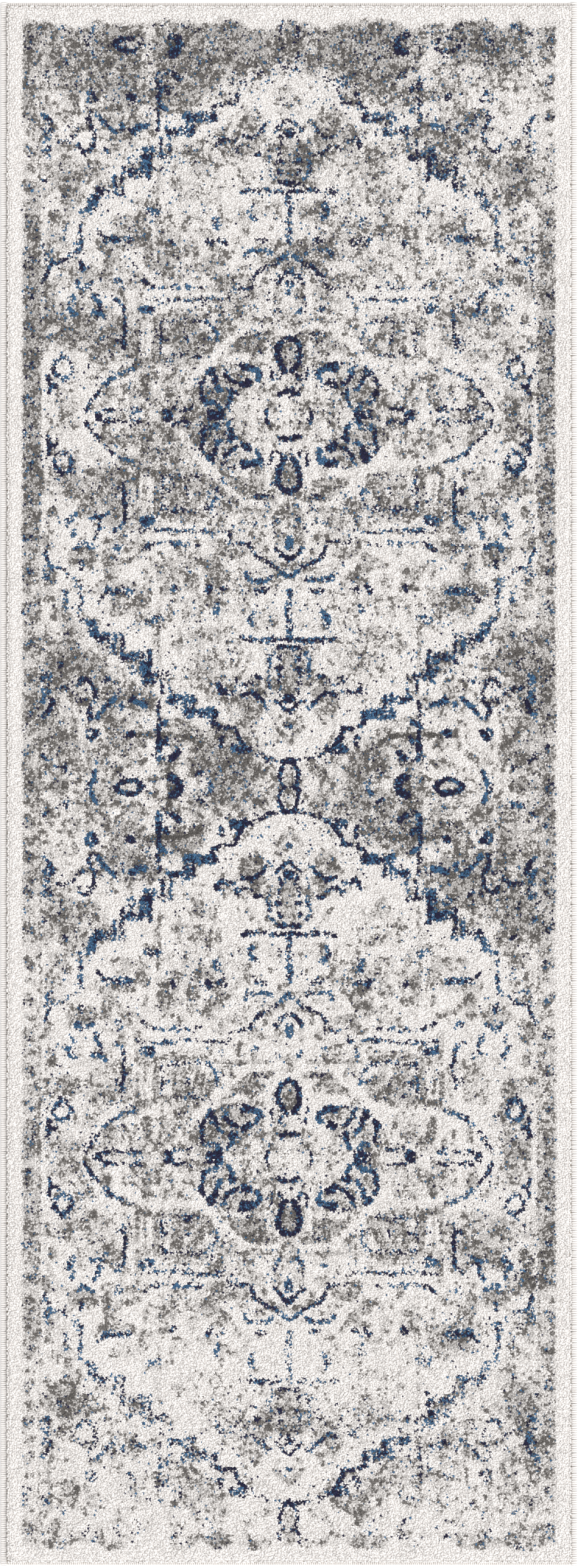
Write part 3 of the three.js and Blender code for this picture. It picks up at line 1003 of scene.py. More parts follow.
# Ivory lines that set the motifs apart: how clear, width, points.
IVORY_LINES = [
    (0.45, 9, [(146, 24), (138, 40), (120, 62), (102, 82), (84, 98), (64, 116), (24, 126)]),
    (0.40, 7, [(30, 44), (28, 66), (28, 100)]),
    (0.30, 7, [(60, 80), (92, 78), (110, 70)]),
    (0.35, 9, [(96, 132), (116, 146), (150, 150), (178, 138), (196, 118), (198, 84)]),
    (0.40, 8, [(284, 4), (262, 42), (236, 66), (214, 74)]),
    (0.35, 6, [(200, 44), (214, 52), (238, 44)]),
    (0.40, 6, [(336, 4), (334, 60), (331, 82)]),
    (0.35, 8, [(334, 112), (322, 116), (308, 126), (310, 152)]),
    (0.30, 5, [(338, 120), (336, 160)]),
    (0.25, 6, [(334, 256), (332, 284)]),
    (0.35, 7, [(178, 182), (198, 198), (206, 222)]),
    (0.30, 7, [(250, 148), (258, 170), (268, 172), (276, 160)]),
    (0.35, 7, [(26, 132), (26, 190)]),
    (0.40, 5, [(90, 166), (200, 167)]),
    (0.30, 6, [(60, 196), (52, 208), (30, 216), (10, 228)]),
    (0.40, 5, [(8, 240), (8, 296), (40, 298), (62, 294)]),
    (0.25, 5, [(0, 311), (40, 313), (62, 311)]),
    (0.30, 6, [
        (216, 294), (216, 316), (182, 316), (180, 344), (152, 346), (150, 376), (122, 378), (120, 394),
    ]),
    (0.30, 6, [(120, 394), (92, 396), (90, 416), (66, 420), (60, 446), (24, 462)]),
    (0.30, 5, [
        (272, 304), (268, 316), (244, 318), (240, 332), (230, 340), (206, 362), (180, 366), (180, 376),
    ]),
    (0.30, 6, [(280, 398), (282, 424), (281, 466)]),
    (0.30, 8, [(84, 384), (71, 396), (65, 414)]),
    (0.30, 6, [(184, 216), (185, 262)]),
    (0.30, 6, [(120, 238), (117, 222), (126, 210), (140, 212), (146, 224), (144, 240)]),
    (0.30, 5, [(95, 194), (106, 183), (117, 191)]),
    (0.25, 5, [(36, 362), (34, 380), (24, 392)]),
    (0.25, 5, [(186, 440), (186, 480)]),
    (0.30, 6, [(294, 232), (293, 276)]),
]
# Small leaves all over the ground: the change in the share of grey, their size, which noise.
FOLIAGE = [(0.17, 17, 41), (0.13, 9, 42)]
# Wear over the whole rug: the change in the share of grey, before PointPaper.wear_strength, then
# the middle x and y and the half-sizes.
WEAR = [
    (0.22, 0, 1016, 420, 44),
    (0.14, -190, 965, 90, 50),
    (0.14, 140, 955, 60, 20),
    (-0.16, -330, 870, 50, 60),
    (-0.12, 330, 930, 50, 70),
    (-0.14, 225, 985, 40, 20),
    (0.12, -150, 850, 40, 25),
    (0.12, 15, 838, 40, 25),
    (0.10, 184, 868, 40, 30),
    (-0.10, -90, 760, 80, 40),
    (0.14, 20, 722, 50, 30),
    (0.12, -180, 722, 40, 25),
    (0.20, -315, 632, 40, 30),
    (0.14, -195, 600, 60, 40),
    (0.16, 15, 575, 30, 30),
    (0.12, -120, 505, 40, 50),
    (0.10, 330, 520, 30, 50),
    (-0.10, -290, 500, 40, 40),
    (0.14, -190, 425, 60, 30),
    (0.12, -335, 430, 50, 40),
    (0.12, 60, 372, 110, 20),
    (0.12, -170, 372, 50, 25),
    (-0.12, 184, 425, 60, 30),
    (-0.12, 130, 280, 70, 50),
    (0.14, 245, 250, 30, 30),
    (0.18, -280, 145, 50, 40),
    (0.16, 335, 140, 30, 40),
    (0.22, -80, 45, 40, 60),
    (-0.18, 270, 55, 50, 50),
    (0.14, 168, -43, 40, 40),
    (0.16, 259, -135, 60, 40),
    (0.12, -180, -100, 60, 30),
    (-0.14, -325, -43, 50, 40),
    (-0.14, -223, -155, 40, 40),
    (-0.12, 77, -145, 60, 50),
    (-0.12, 0, -300, 420, 130),
    (0.10, -265, -205, 30, 30),
    (0.12, 120, -262, 60, 25),
    (-0.10, 235, -364, 40, 60),
    (-0.16, 248, -492, 40, 40),
    (0.16, -75, -452, 70, 40),
    (0.12, 152, -417, 40, 30),
    (0.12, -233, -439, 40, 40),
    (0.14, 307, -471, 30, 60),
    (-0.08, 0, -700, 420, 300),
    (0.16, -10, -600, 60, 60),
    (0.18, 295, -642, 60, 50),
    (0.14, -126, -685, 50, 60),
    (0.12, 216, -760, 40, 40),
    (-0.12, -60, -780, 330, 60),
    (0.16, -30, -856, 50, 40),
    (-0.12, -290, -950, 60, 50),
    (-0.16, 0, -1005, 420, 24),
    (-0.12, 290, -945, 60, 40),
]
# More wear in the same way, at full depth.
LATE_WEAR = [
    (0.22, -350, 590, 18, 170),
    (0.12, 352, 600, 16, 130),
    (0.12, -350, 400, 18, 60),
    (-0.18, -352, -300, 18, 130),
    (-0.22, -352, -880, 18, 110),
    (-0.16, 345, 860, 16, 50),
    (0.12, 352, -580, 18, 60),
]
# Where the navy and denim strokes are fresher or more faded than elsewhere, in the same way.
FADING = [
    (0.40, 0, -20, 420, 150),
    (0.20, 0, 505, 150, 110),
    (0.20, 0, -500, 150, 110),
    (-0.55, 0, 1000, 420, 60),
    (-0.70, 0, -1000, 420, 60),
    (-0.30, 0, -870, 420, 110),
    (-0.30, 200, 720, 260, 220),
    (0.20, 165, 860, 60, 60),
    (0.20, -190, 890, 80, 60),
    (0.90, -225, 1008, 16, 14),
    (0.90, -160, 1006, 14, 12),
    (0.70, 140, 1004, 16, 12),
    (1.00, 0, -972, 130, 60),
    (0.40, -315, -985, 40, 24),
    (0.40, 315, -985, 40, 24),
]
# One border floret, drawn again at every floret pitch, in the same way as the strokes; its points
# are u, and v from the floret's own middle.
FLORET = [
    (GREY, 14, 0.62, [(352, -4), (358, 4)]),
    (NAVY, 4, 0.3, [(350, 3), (353, -7), (361, -2)]),
    (BLUE, 5, 0.25, [(350, -5), (358, 6), (364, 1)]),
    (GREY, 9, 0.5, [(350, 23), (357, 25)]),
]


def route_distance(u: np.ndarray, v: np.ndarray, points: list[tuple[float, float]]) -> np.ndarray:
    """Give how far places on the paper lie from a run of straight lines.

    Args:
        u: Places out from the long axis.
        v: Places from the medallion's middle.
        points: Where the lines start, turn and end.

    Returns:
        The distance at each place, in millimetres.
    """
    nearest = np.full(u.shape, 1e9)
    for (start_u, start_v), (end_u, end_v) in zip(points, points[1:]):
        run_u, run_v = end_u - start_u, end_v - start_v
        length = max(run_u**2 + run_v**2, 1e-9)
        share = np.clip(((u - start_u) * run_u + (v - start_v) * run_v) / length, 0, 1)
        distance = np.hypot(u - start_u - share * run_u, v - start_v - share * run_v)
        nearest = np.minimum(nearest, distance)
    return nearest


@dataclass
class PointPaper:
    """The designer's point paper: which yarn the loom brings up for each tuft."""

    repeat: float = 1012.0
    axis_y: float = -2.9
    half_width: int = 396
    freshness: float = 1.3  # how much more of the navy and denim shows than the strokes' shares say
    fullest: float = 0.97
    ground_grey: float = 0.27
    border_start: float = 338.0
    border_end: float = 365.0
    border_grey: float = 0.44
    floret_first: float = 22.0
    floret_pitch: float = 48.4
    fade_end: float = 1042.0  # where the pattern gives way to the ivory ends
    fade_ragged: float = 10.0
    edge_blur: float = 0.9
    wobble: float = 1.6
    wobble_cell: float = 13.0
    wear_depth: float = 0.13
    wear_strength: float = 1.35
    grey_start: float = 0.06  # ground with less grey than this is ivory
    grey_range: float = 0.62
    grey_least: float = 0.03
    grey_gain: float = 0.70
    pale_limit: float = 1.28  # pale grey tufts, and then charcoal ones, for each grey one
    charcoal_limit: float = 0.71
    charcoal_start: float = 0.05
    ground_patchy: float = 0.85
    motif_patchy: float = 0.4
    mixing_patchy: float = 0.2
    fleck: float = 0.02  # stray denim and navy tufts in the ground
    mixing: float = 0.22  # the share of denim tufts among the navy ones, and the other way round
    seed: int = 11
    grey: np.ndarray = field(init=False)
    cover: dict[Yarn, np.ndarray] = field(init=False)

    def __post_init__(self) -> None:
        """Draw the quarter repeat on a grid of one millimetre."""
        u, v = np.meshgrid(np.arange(self.half_width + 1.0), np.arange(self.repeat / 2 + 2))
        self.cover = {yarn: np.zeros(u.shape) for yarn in Yarn}
        for yarn, width, share, points in STROKES:
            if yarn is not GREY:
                share = min(self.fullest, round(share * self.freshness, 2))
            self.draw(yarn, width, share, points, u, v)
        for middle in np.arange(self.floret_first, self.repeat / 2 + 20, self.floret_pitch):
            for yarn, width, share, points in FLORET:
                self.draw(yarn, width, share, [(out, middle + up) for out, up in points], u, v)
        self.grey = self.ground_grey + self.patches(WASHES, u, v)
        for clear, width, points in IVORY_LINES:
            self.grey -= clear * np.clip((width / 2 + 2 - route_distance(u, v, points)) / 4, 0, 1)
        for amount, cell, seed in FOLIAGE:
            veins = 1 - 5 * np.abs(value_noise(u, v, cell, cell, seed))
            self.grey += amount * (np.clip(veins, -0.6, 1) + 0.1)
        border = np.clip((u - self.border_start) / 3, 0, 1)
        self.grey = np.maximum(self.grey, border * self.border_grey)

    def draw(
        self, yarn: Yarn, width: float, share: float, points: list, u: np.ndarray, v: np.ndarray
    ) -> None:
        """Draw one stroke on the quarter.

        Args:
            yarn: The yarn that the stroke shows.
            width: Its width in millimetres.
            share: The share of its tufts that still show the yarn.
            points: Where it starts, turns and ends.
            u: Places on the paper out from the long axis.
            v: Places from the medallion's middle.
        """
        inside = (width / 2 + self.edge_blur - route_distance(u, v, points)) / (2 * self.edge_blur)
        self.cover[yarn] = np.maximum(self.cover[yarn], share * np.clip(inside, 0, 1))

    def sample(self, grid: np.ndarray, u: np.ndarray, v: np.ndarray) -> np.ndarray:
        """Read a grid of the quarter between its points.

        Args:
            grid: The grey share or a yarn's cover.
            u: Places out from the long axis.
            v: Places from the medallion's middle.

        Returns:
            The value at each place.
        """
        u = np.clip(u, 0, grid.shape[1] - 1.001)
        v = np.clip(v, 0, grid.shape[0] - 1.001)
        i, j = u.astype(int), v.astype(int)
        return between(grid, i, j, u - i, v - j)

    def patches(self, listed: list, x: np.ndarray, y: np.ndarray) -> np.ndarray:
        """Add up soft-edged ovals.

        Args:
            listed: The change in each, its middle x and y and its half-sizes.
            x: Places across in millimetres.
            y: Places along.

        Returns:
            The change at each place.
        """
        change = np.zeros(x.shape)
        for amount, mid_x, mid_y, half_x, half_y in listed:
            spread = np.hypot((x - mid_x) / half_x, (y - mid_y) / half_y)
            change += amount * np.clip(1.35 - spread, 0, 0.7) / 0.7
        return change

    def wear(self, x: np.ndarray, y: np.ndarray) -> np.ndarray:
        """Give how much greyer or paler wear makes each place.

        Args:
            x: Places across the rug in millimetres.
            y: Places along it.

        Returns:
            The change in the share of grey tufts.
        """
        broad = self.wear_depth * value_noise(x, y, 46, 60, self.seed)
        fine = self.wear_depth * value_noise(x, y, 17, 22, self.seed + 1)
        worn = [(round(change * self.wear_strength, 2), *oval) for change, *oval in WEAR]
        return broad + fine + self.patches(worn + LATE_WEAR, x, y)

    def chance(self, x: np.ndarray, y: np.ndarray, patchy: float, seed: int) -> np.ndarray:
        """Give each tuft a number from 0 to 1, alike for tufts that share a warp or a shot.

        Args:
            x: Places across the rug.
            y: Places along it.
            patchy: How much neighbours within a few millimetres share.
            seed: Which set of numbers.

        Returns:
            The numbers, evenly spread.
        """
        rng = np.random.default_rng(seed)
        mixed = 0.5 * rng.standard_normal(x.shape)
        cells = ((0.9, 3.2, 5.5), (0.8, 7.5, 5.0), (0.5, 14.0, 14.0))
        for step, (amount, cell_x, cell_y) in enumerate(cells, start=1):
            mixed += patchy * amount * value_noise(x, y, cell_x, cell_y, seed + step)
        order = np.argsort(mixed, kind="stable")
        ranks = np.empty(len(order))
        ranks[order] = (np.arange(len(order)) + 0.5) / len(order)
        return ranks

    def yarns(self, x: np.ndarray, y: np.ndarray) -> tuple[np.ndarray, np.ndarray]:
        """Choose the yarn of every tuft.

        Args:
            x: Places of the tufts across the rug.
            y: Places along it.

        Returns:
            The number of each tuft's yarn, in the order of Yarn, and how grey its surroundings are.
        """
        shift_x = self.wobble * value_noise(x, y, self.wobble_cell, self.wobble_cell, self.seed + 2)
        shift_y = self.wobble * value_noise(x, y, self.wobble_cell, self.wobble_cell, self.seed + 3)
        u = np.abs(x + shift_x)
        v = np.abs(np.mod(np.abs(y + shift_y - self.axis_y), self.repeat) - self.repeat / 2)
        wear = self.wear(x, y)
        inside = np.clip((self.border_end - np.abs(x)) / 4, 0, 1)
        ragged = self.fade_ragged * value_noise(x, y, 24, 30, self.seed + 4)
        inside = inside * np.clip((self.fade_end + ragged - np.abs(y)) / 9, 0, 1)
        grey = np.clip((self.sample(self.grey, u, v) + wear - self.grey_start) / self.grey_range, 0, 1)
        grey = (self.grey_least + self.grey_gain * grey * grey * (3 - 2 * grey)) * inside
        strength = np.clip(1.0 + 0.6 * wear + self.patches(FADING, x, y), 0.2, 1.4) * inside
        cover = {yarn: self.sample(grid, u, v) * strength for yarn, grid in self.cover.items()}
        grey = np.maximum(grey, cover[GREY])
        chosen = np.full(x.shape, ORDER[Yarn.IVORY])
        drawn = self.chance(x, y, self.ground_patchy, self.seed + 10)
        chosen[drawn < self.pale_limit * grey] = ORDER[Yarn.PALE]
        chosen[drawn < self.charcoal_limit * grey - self.charcoal_start] = ORDER[GREY]
        fleck = self.fleck * inside * np.clip(1 + 4 * wear, 0, 2)
        for yarn, step in ((BLUE, 20), (NAVY, 30)):
            drawn = self.chance(x, y, self.motif_patchy, self.seed + step)
            chosen[drawn < np.maximum(cover[yarn], fleck)] = ORDER[yarn]
        drawn = self.chance(x, y, self.mixing_patchy, self.seed + 40)
        swapped = (drawn < self.mixing) & (chosen >= ORDER[BLUE])
        chosen[swapped] = ORDER[BLUE] + ORDER[NAVY] - chosen[swapped]
        return chosen, grey


# ------------------------------------------------------------------ the pile


def uneven_size(tree: bpy.types.NodeTree, start: bpy.types.bpy_prop_collection) -> bpy.types.NodeSocket:
    """Give each copy in a tree its own size, near 1.

    Args:
        tree: The modifier's tree.
        start: The tree's inputs, among them Spread and Seed.

    Returns:
        The socket with the sizes.
    """
    most = add(tree, "ShaderNodeMath", {"operation": "ADD", 0: 1.0}, {1: start["Spread"]})
    least = add(tree, "ShaderNodeMath", {"operation": "SUBTRACT", 0: 1.0}, {1: start["Spread"]})
    links = {2: least.outputs[0], 3: most.outputs[0], "Seed": start["Seed"]}
    return add(tree, "FunctionNodeRandomValue", {"data_type": "FLOAT"}, links).outputs[1]


@dataclass
class PileField:
    """The cut pile: rows of tufts that stand on the upper shots, one yarn colour in each."""

    pitch: float = 2.0  # mm between tufts; two of the real rug's for each of these
    tip_radius: float = 2.15
    ridge: float = 0.25
    lean: float = 0.06  # radians, in any direction
    nap: float = 0.07  # radians, towards the foot, as the loom's rollers lay the pile
    splay: float = 0.5  # radians outwards at the rug's edge
    splay_depth: float = 4.5
    height_spread: float = 0.02
    body_inset: float = 0.8
    body_step: float = 7.5
    body_depth: float = 1.6  # mm from the cut tips down to where the fibres close up
    most_in_piece: int = 49000
    margin: float = 0.75  # from the field's edge to the first tuft, for each tip radius
    jitter: float = 0.22  # how far a tuft strays, for each pitch
    girth_spread: float = 0.1
    shearing: float = 0.18  # how much lower the outermost tufts are sheared
    height_drift: float = 0.02
    brushing: float = 0.05  # radians, where the pile has been brushed over
    dye_lots: float = 0.03  # how much the shade drifts along a warp
    body_ripple: float = 0.3
    seed: int = 5
    paper: PointPaper = field(default_factory=PointPaper)

    # Each yarn's root sets its painted shade down at the tuft roots; the ivory's is lighter.
    YARNS = {
        Yarn.IVORY: (PileYarn("heat_set_polypropylene_ivory", "#e8e4e1", root=0.95), "pile_ivory"),
        Yarn.PALE: (PileYarn("heat_set_polypropylene_pale_grey", "#bab6b3"), "pile_pale_grey"),
        Yarn.CHARCOAL: (PileYarn("heat_set_polypropylene_charcoal", "#65615e"), "pile_charcoal"),
        Yarn.BLUE: (PileYarn("heat_set_polypropylene_denim", "#3d6182"), "pile_blue"),
        Yarn.NAVY: (PileYarn("heat_set_polypropylene_navy", "#1e1d3a"), "pile_navy"),
    }
    # How fibres of the neighbours tint each yarn: on white ground, by grey ground, and unevenness.
    TINTS = np.array([(1, -0.4, 0.09), (1.25, -0.5, 0.06), (1.6, -0.8, 0.12), (1, 0, 0.2), (1, 0, 0.2)])

    def tuft_tree(self) -> NodeModifier:
        """Build the tree that sets a tuft on each point.

        Returns:
            The modifier, with the tuft's sizes as its inputs.
        """
        made = NodeModifier(
            "tufts",
            {
                "Tuft Height": ("NodeSocketFloat", 0.0076),
                "Tip Radius": ("NodeSocketFloat", 0.0016),
                "Tip Ridge": ("NodeSocketFloat", 0.0004),
                "Spread": ("NodeSocketFloat", 0.03),
                "Cell Size": ("NodeSocketFloat", 0.01),
                "Seed": ("NodeSocketInt", 1),
                "Material": ("NodeSocketMaterial", None),
            },
        )
        tree, start = made.tree, made.start.outputs
        tuft = add(
            tree,
            "GeometryNodeMeshCone",
            {"fill_type": "NGON", "Vertices": 3, "Radius Bottom": 0.0},
            {"Radius Top": start["Tip Radius"], "Depth": start["Tuft Height"]},
        )
        corner = {"data_type": "FLOAT2", "domain": "CORNER"}
        flat = add(
            tree,
            "GeometryNodeStoreNamedAttribute",
            {**corner, "Name": "tuft_uv"},
            {"Geometry": tuft.outputs["Mesh"], "Value": tuft.outputs["UV Map"]},
        )
        place = add(tree, "GeometryNodeInputPosition")
        split = add(tree, "ShaderNodeSeparateXYZ", links={0: place.outputs[0]})
        out_x = add(tree, "ShaderNodeMath", {"operation": "ABSOLUTE"}, {0: split.outputs["X"]})
        out_y = add(tree, "ShaderNodeMath", {"operation": "ABSOLUTE"}, {0: split.outputs["Y"]})
        sides = {0: out_x.outputs[0], 1: out_y.outputs[0]}
        on_ridge = add(tree, "ShaderNodeMath", {"operation": "GREATER_THAN"}, sides)
        heights = {0: on_ridge.outputs[0], 1: start["Tip Ridge"]}
        rise = add(tree, "ShaderNodeMath", {"operation": "MULTIPLY"}, heights)
        up = add(tree, "ShaderNodeCombineXYZ", links={"Z": rise.outputs[0]})
        moved = {"Geometry": flat.outputs["Geometry"], "Offset": up.outputs[0]}
        shaped = add(tree, "GeometryNodeSetPosition", links=moved).outputs["Geometry"]
        soft = add(tree, "GeometryNodeSetShadeSmooth", links={"Geometry": shaped})
        stored = {
            name: add(
                tree, "GeometryNodeInputNamedAttribute", {"data_type": kind, "Name": name}
            ).outputs["Attribute"]
            for name, kind in (
                ("tilt", "FLOAT_VECTOR"),
                ("tall", "FLOAT"),
                ("cell", "FLOAT_VECTOR"),
                ("tuft_uv", "FLOAT_VECTOR"),
            )
        }
        height = add(tree, "ShaderNodeCombineXYZ", {"X": 1.0, "Y": 1.0}, {"Z": stored["tall"]})
        set_out = add(
            tree,
            "GeometryNodeInstanceOnPoints",
            links={
                "Points": start["Geometry"],
                "Instance": soft.outputs["Geometry"],
                "Rotation": stored["tilt"],
                "Scale": height.outputs[0],
            },
        )
        twist = add(
            tree,
            "FunctionNodeRandomValue",
            {"data_type": "FLOAT", 2: -math.pi, 3: math.pi},
            {"Seed": start["Seed"]},
        )
        about = add(tree, "ShaderNodeCombineXYZ", links={"Z": twist.outputs[1]})
        turned = add(
            tree,
            "GeometryNodeRotateInstances",
            links={"Instances": set_out.outputs["Instances"], "Rotation": about.outputs[0]},
        )
        scaled = add(
            tree,
            "GeometryNodeScaleInstances",
            links={"Instances": turned.outputs["Instances"], "Scale": uneven_size(tree, start)},
        )
        real = add(tree, "GeometryNodeRealizeInstances", links={0: scaled.outputs["Instances"]})
        within = {0: stored["tuft_uv"], "Scale": start["Cell Size"]}
        shrunk = add(tree, "ShaderNodeVectorMath", {"operation": "SCALE"}, within)
        both = {0: stored["cell"], 1: shrunk.outputs[0]}
        spot = add(tree, "ShaderNodeVectorMath", {"operation": "ADD"}, both)
        tidy = add(
            tree,
            "GeometryNodeStoreNamedAttribute",
            {**corner, "Name": "OFBake"},
            {"Geometry": real.outputs[0], "Value": spot.outputs[0]},
        ).outputs["Geometry"]
        for spare in ("tuft_uv", "cell", "tilt", "tall"):
            removed = add(tree, "GeometryNodeRemoveAttribute", {"Name": spare}, {"Geometry": tidy})
            tidy = removed.outputs["Geometry"]
        made.end(tidy)
        return made

    def places(self) -> tuple[np.ndarray, np.ndarray]:
        """Give where the tufts stand, in millimetres."""
        low, high = node_box("pile_field")
        margin = self.tip_radius * self.margin
        count_x = int((high[0] - low[0] - 2 * margin) / self.pitch) + 1
        count_y = int((high[1] - low[1] - 2 * margin) / self.pitch) + 1
        across = np.linspace(low[0] + margin, high[0] - margin, count_x)
        along = np.linspace(low[1] + margin, high[1] - margin, count_y)
        x, y = (grid.ravel() for grid in np.meshgrid(across, along))
        rng = np.random.default_rng(self.seed)
        jitter = self.jitter * self.pitch
        return x + rng.uniform(-jitter, jitter, x.shape), y + rng.uniform(-jitter, jitter, y.shape)

    def body(self, x: np.ndarray, y: np.ndarray, colours: np.ndarray) -> bpy.types.Object:
        """Make the closed mass of fibres under the tips, which shows between them.

        Args:
            x: Places of the tufts across the rug.
            y: Places along it.
            colours: Each tuft's colour.

        Returns:
            The finished piece.
        """
        low, high = node_box("pile_field")
        sides, steps = [], []
        for axis, places in ((0, x), (1, y)):
            start, end = low[axis] + self.body_inset, high[axis] - self.body_inset
            side = np.linspace(start, end, int((end - start) / self.body_step) + 1)
            sides.append(side)
            steps.append(np.clip(np.rint((places - start) / (side[1] - start)), 0, len(side) - 1))
        wide, deep = len(sides[0]), len(sides[1])
        cell = (steps[1] * wide + steps[0]).astype(int)
        tufts = np.maximum(np.bincount(cell, minlength=wide * deep), 1)
        mean = np.stack([np.bincount(cell, part, wide * deep) / tufts for part in colours.T], 1)
        across, along = (grid.ravel() for grid in np.meshgrid(*sides))
        top = np.full(len(across), high[2] - self.body_depth)
        top += self.body_ripple * value_noise(across, along, 9, 9, self.seed + 6)
        order = np.arange(wide * deep).reshape(deep, wide)
        rim = np.concatenate([order[0], order[1:, -1], order[-1, -2::-1], order[-2:0:-1, 0]])
        points = np.stack([across, along, top], 1)
        lower = points[rim] * (1, 1, 0) + (0, 0, low[2])
        corners = order[:-1, :-1].ravel().tolist()
        faces = [(a, a + 1, a + wide + 1, a + wide) for a in corners]
        base, around = len(points), len(rim)
        for k in range(around):
            after = (k + 1) % around
            faces.append((base + k, base + after, int(rim[after]), int(rim[k])))
        faces.append(tuple(range(base + around - 1, base - 1, -1)))
        piece = mesh_object("pile_body", np.concatenate([points, lower]) * MM, faces)
        set_attribute(piece.data, "yarns", "FLOAT_VECTOR", np.concatenate([mean, mean[rim]]))
        piece.data.shade_smooth()
        return hand_over(piece, ["pile_field"], PileBody().material())

    def build(self) -> list[bpy.types.Object]:
        """Weave the pile, in strips of one yarn each.

        Returns:
            The finished pieces.
        """
        low, high = node_box("pile_field")
        x, y = self.places()
        rng = np.random.default_rng(self.seed + 1)
        yarn, grey = self.paper.yarns(x, y)
        out_x = np.clip(1 - (high[0] - np.abs(x)) / self.splay_depth, 0, 1) ** 1.5 * np.sign(x)
        out_y = np.clip(1 - (high[1] - np.abs(y)) / self.splay_depth, 0, 1) ** 1.5 * np.sign(y)
        brushed = self.brushing * value_noise(x, y, 35, 35, self.seed + 2)
        lean_x = rng.normal(0, self.lean, x.shape) + self.splay * out_x + brushed
        lean_y = rng.normal(0, self.lean, x.shape) + self.splay * out_y - self.nap + brushed
        tilt = np.stack([-lean_y, lean_x, np.zeros(x.shape)], 1)
        edge = np.maximum(np.abs(out_x), np.abs(out_y))
        tall = 1 + rng.normal(0, self.height_spread, x.shape) - self.shearing * edge
        tall += self.height_drift * value_noise(x, y, 60, 60, self.seed + 3)
        lot = self.dye_lots * value_noise(x, y, 2.4, 400, self.seed + 4)
        white, by_grey, uneven = self.TINTS[yarn].T
        shade = np.clip(white + by_grey * grey + lot + rng.normal(0, uneven), 0.6, 1.5)
        colours = np.array([linear(finish.colour)[:3] for finish, _ in self.YARNS.values()])
        tree = self.tuft_tree()
        pieces = [self.body(x, y, colours[yarn] * shade[:, None])]
        for number, kind in enumerate(Yarn):
            finish, slot = self.YARNS[kind]
            material = finish.material()
            chosen = np.flatnonzero(yarn == number)
            chosen = chosen[np.argsort(x[chosen], kind="stable")]
            strips = np.array_split(chosen, math.ceil(len(chosen) / self.most_in_piece))
            for strip, picked in enumerate(strips, start=1):
                points = np.stack([x[picked], y[picked], np.full(len(picked), low[2])], 1) * MM
                piece = mesh_object(f"pile_{kind.value}_{strip}", points, [])
                side = math.ceil(math.sqrt(len(picked)))
                index = np.arange(len(picked))
                cell = np.stack([index % side, index // side, 0 * index], 1) / side
                set_attribute(piece.data, "tilt", "FLOAT_VECTOR", tilt[picked])
                set_attribute(piece.data, "tall", "FLOAT", tall[picked])
                set_attribute(piece.data, "cell", "FLOAT_VECTOR", cell + 0.05 / side)
                set_attribute(piece.data, "shade", "FLOAT", shade[picked])
                values = {
                    "Tuft Height": (high[2] - low[2]) * MM,
                    "Tip Radius": self.tip_radius * MM,
                    "Tip Ridge": self.ridge * MM,
                    "Spread": self.girth_spread,
                    "Cell Size": 0.9 / side,
                    "Seed": self.seed + number,
                    "Material": material,
                }
                tree.apply(piece, values)
                pieces.append(hand_over(piece, ["pile_field"]))
        return pieces


# ------------------------------------------------------------------ sewn edges


def tube(path: np.ndarray, half_widths: np.ndarray, half_depths: np.ndarray) -> tuple[np.ndarray, list]:
    """Make a closed tube of four sides along a path in the XZ plane.

    Args:
        path: Points of the tube's centre line, as X and Z, in millimetres.
        half_widths: Half the tube's size along Y at each point.
        half_depths: Half its size across the path at each point.

    Returns:
        Points and faces, faces pointing out.
    """
    run = np.gradient(path, axis=0)
    run /= np.linalg.norm(run, axis=1, keepdims=True)
    normal = np.stack([-run[:, 1], run[:, 0]], 1)
    points = []
    for (x, z), (out_x, out_z), wide, deep in zip(path, normal, half_widths, half_depths):
        points.append((x + out_x * deep, 0, z + out_z * deep))
        points.append((x, wide, z))
        points.append((x - out_x * deep, 0, z - out_z * deep))
        points.append((x, -wide, z))
    faces = []
    for ring in range(len(path) - 1):
        for side in range(4):
            near, far = 4 * ring + side, 4 * ring + (side + 1) % 4
            faces.append((near, far, far + 4, near + 4))
    last = 4 * (len(path) - 1)
    faces.append((3, 2, 1, 0))
    faces.append((last, last + 1, last + 2, last + 3))
    return np.array(points), faces


def bead(length: float, radius: float, sides: int = 6) -> tuple[np.ndarray, list]:
    """Make a closed grain shape along Y, as a visible stitch of thread.

    Args:
        length: Its length in millimetres.
        radius: Its radius at the fullest place.
        sides: Sides round it.

    Returns:
        Points and faces, faces pointing out.
    """
    points = [(0, -length / 2, 0)]
    for along in (-0.26, 0.26):
        for side in range(sides):
            turn = 2 * math.pi * side / sides
            points.append((radius * math.cos(turn), along * length, radius * math.sin(turn)))
    points.append((0, length / 2, 0))
    end = len(points) - 1
    faces = []
    for side in range(sides):
        after = (side + 1) % sides
        faces.append((0, 1 + side, 1 + after))
        faces.append((1 + side, 1 + sides + side, 1 + sides + after, 1 + after))
        faces.append((end, 1 + sides + after, 1 + sides + side))
    return np.array(points), faces


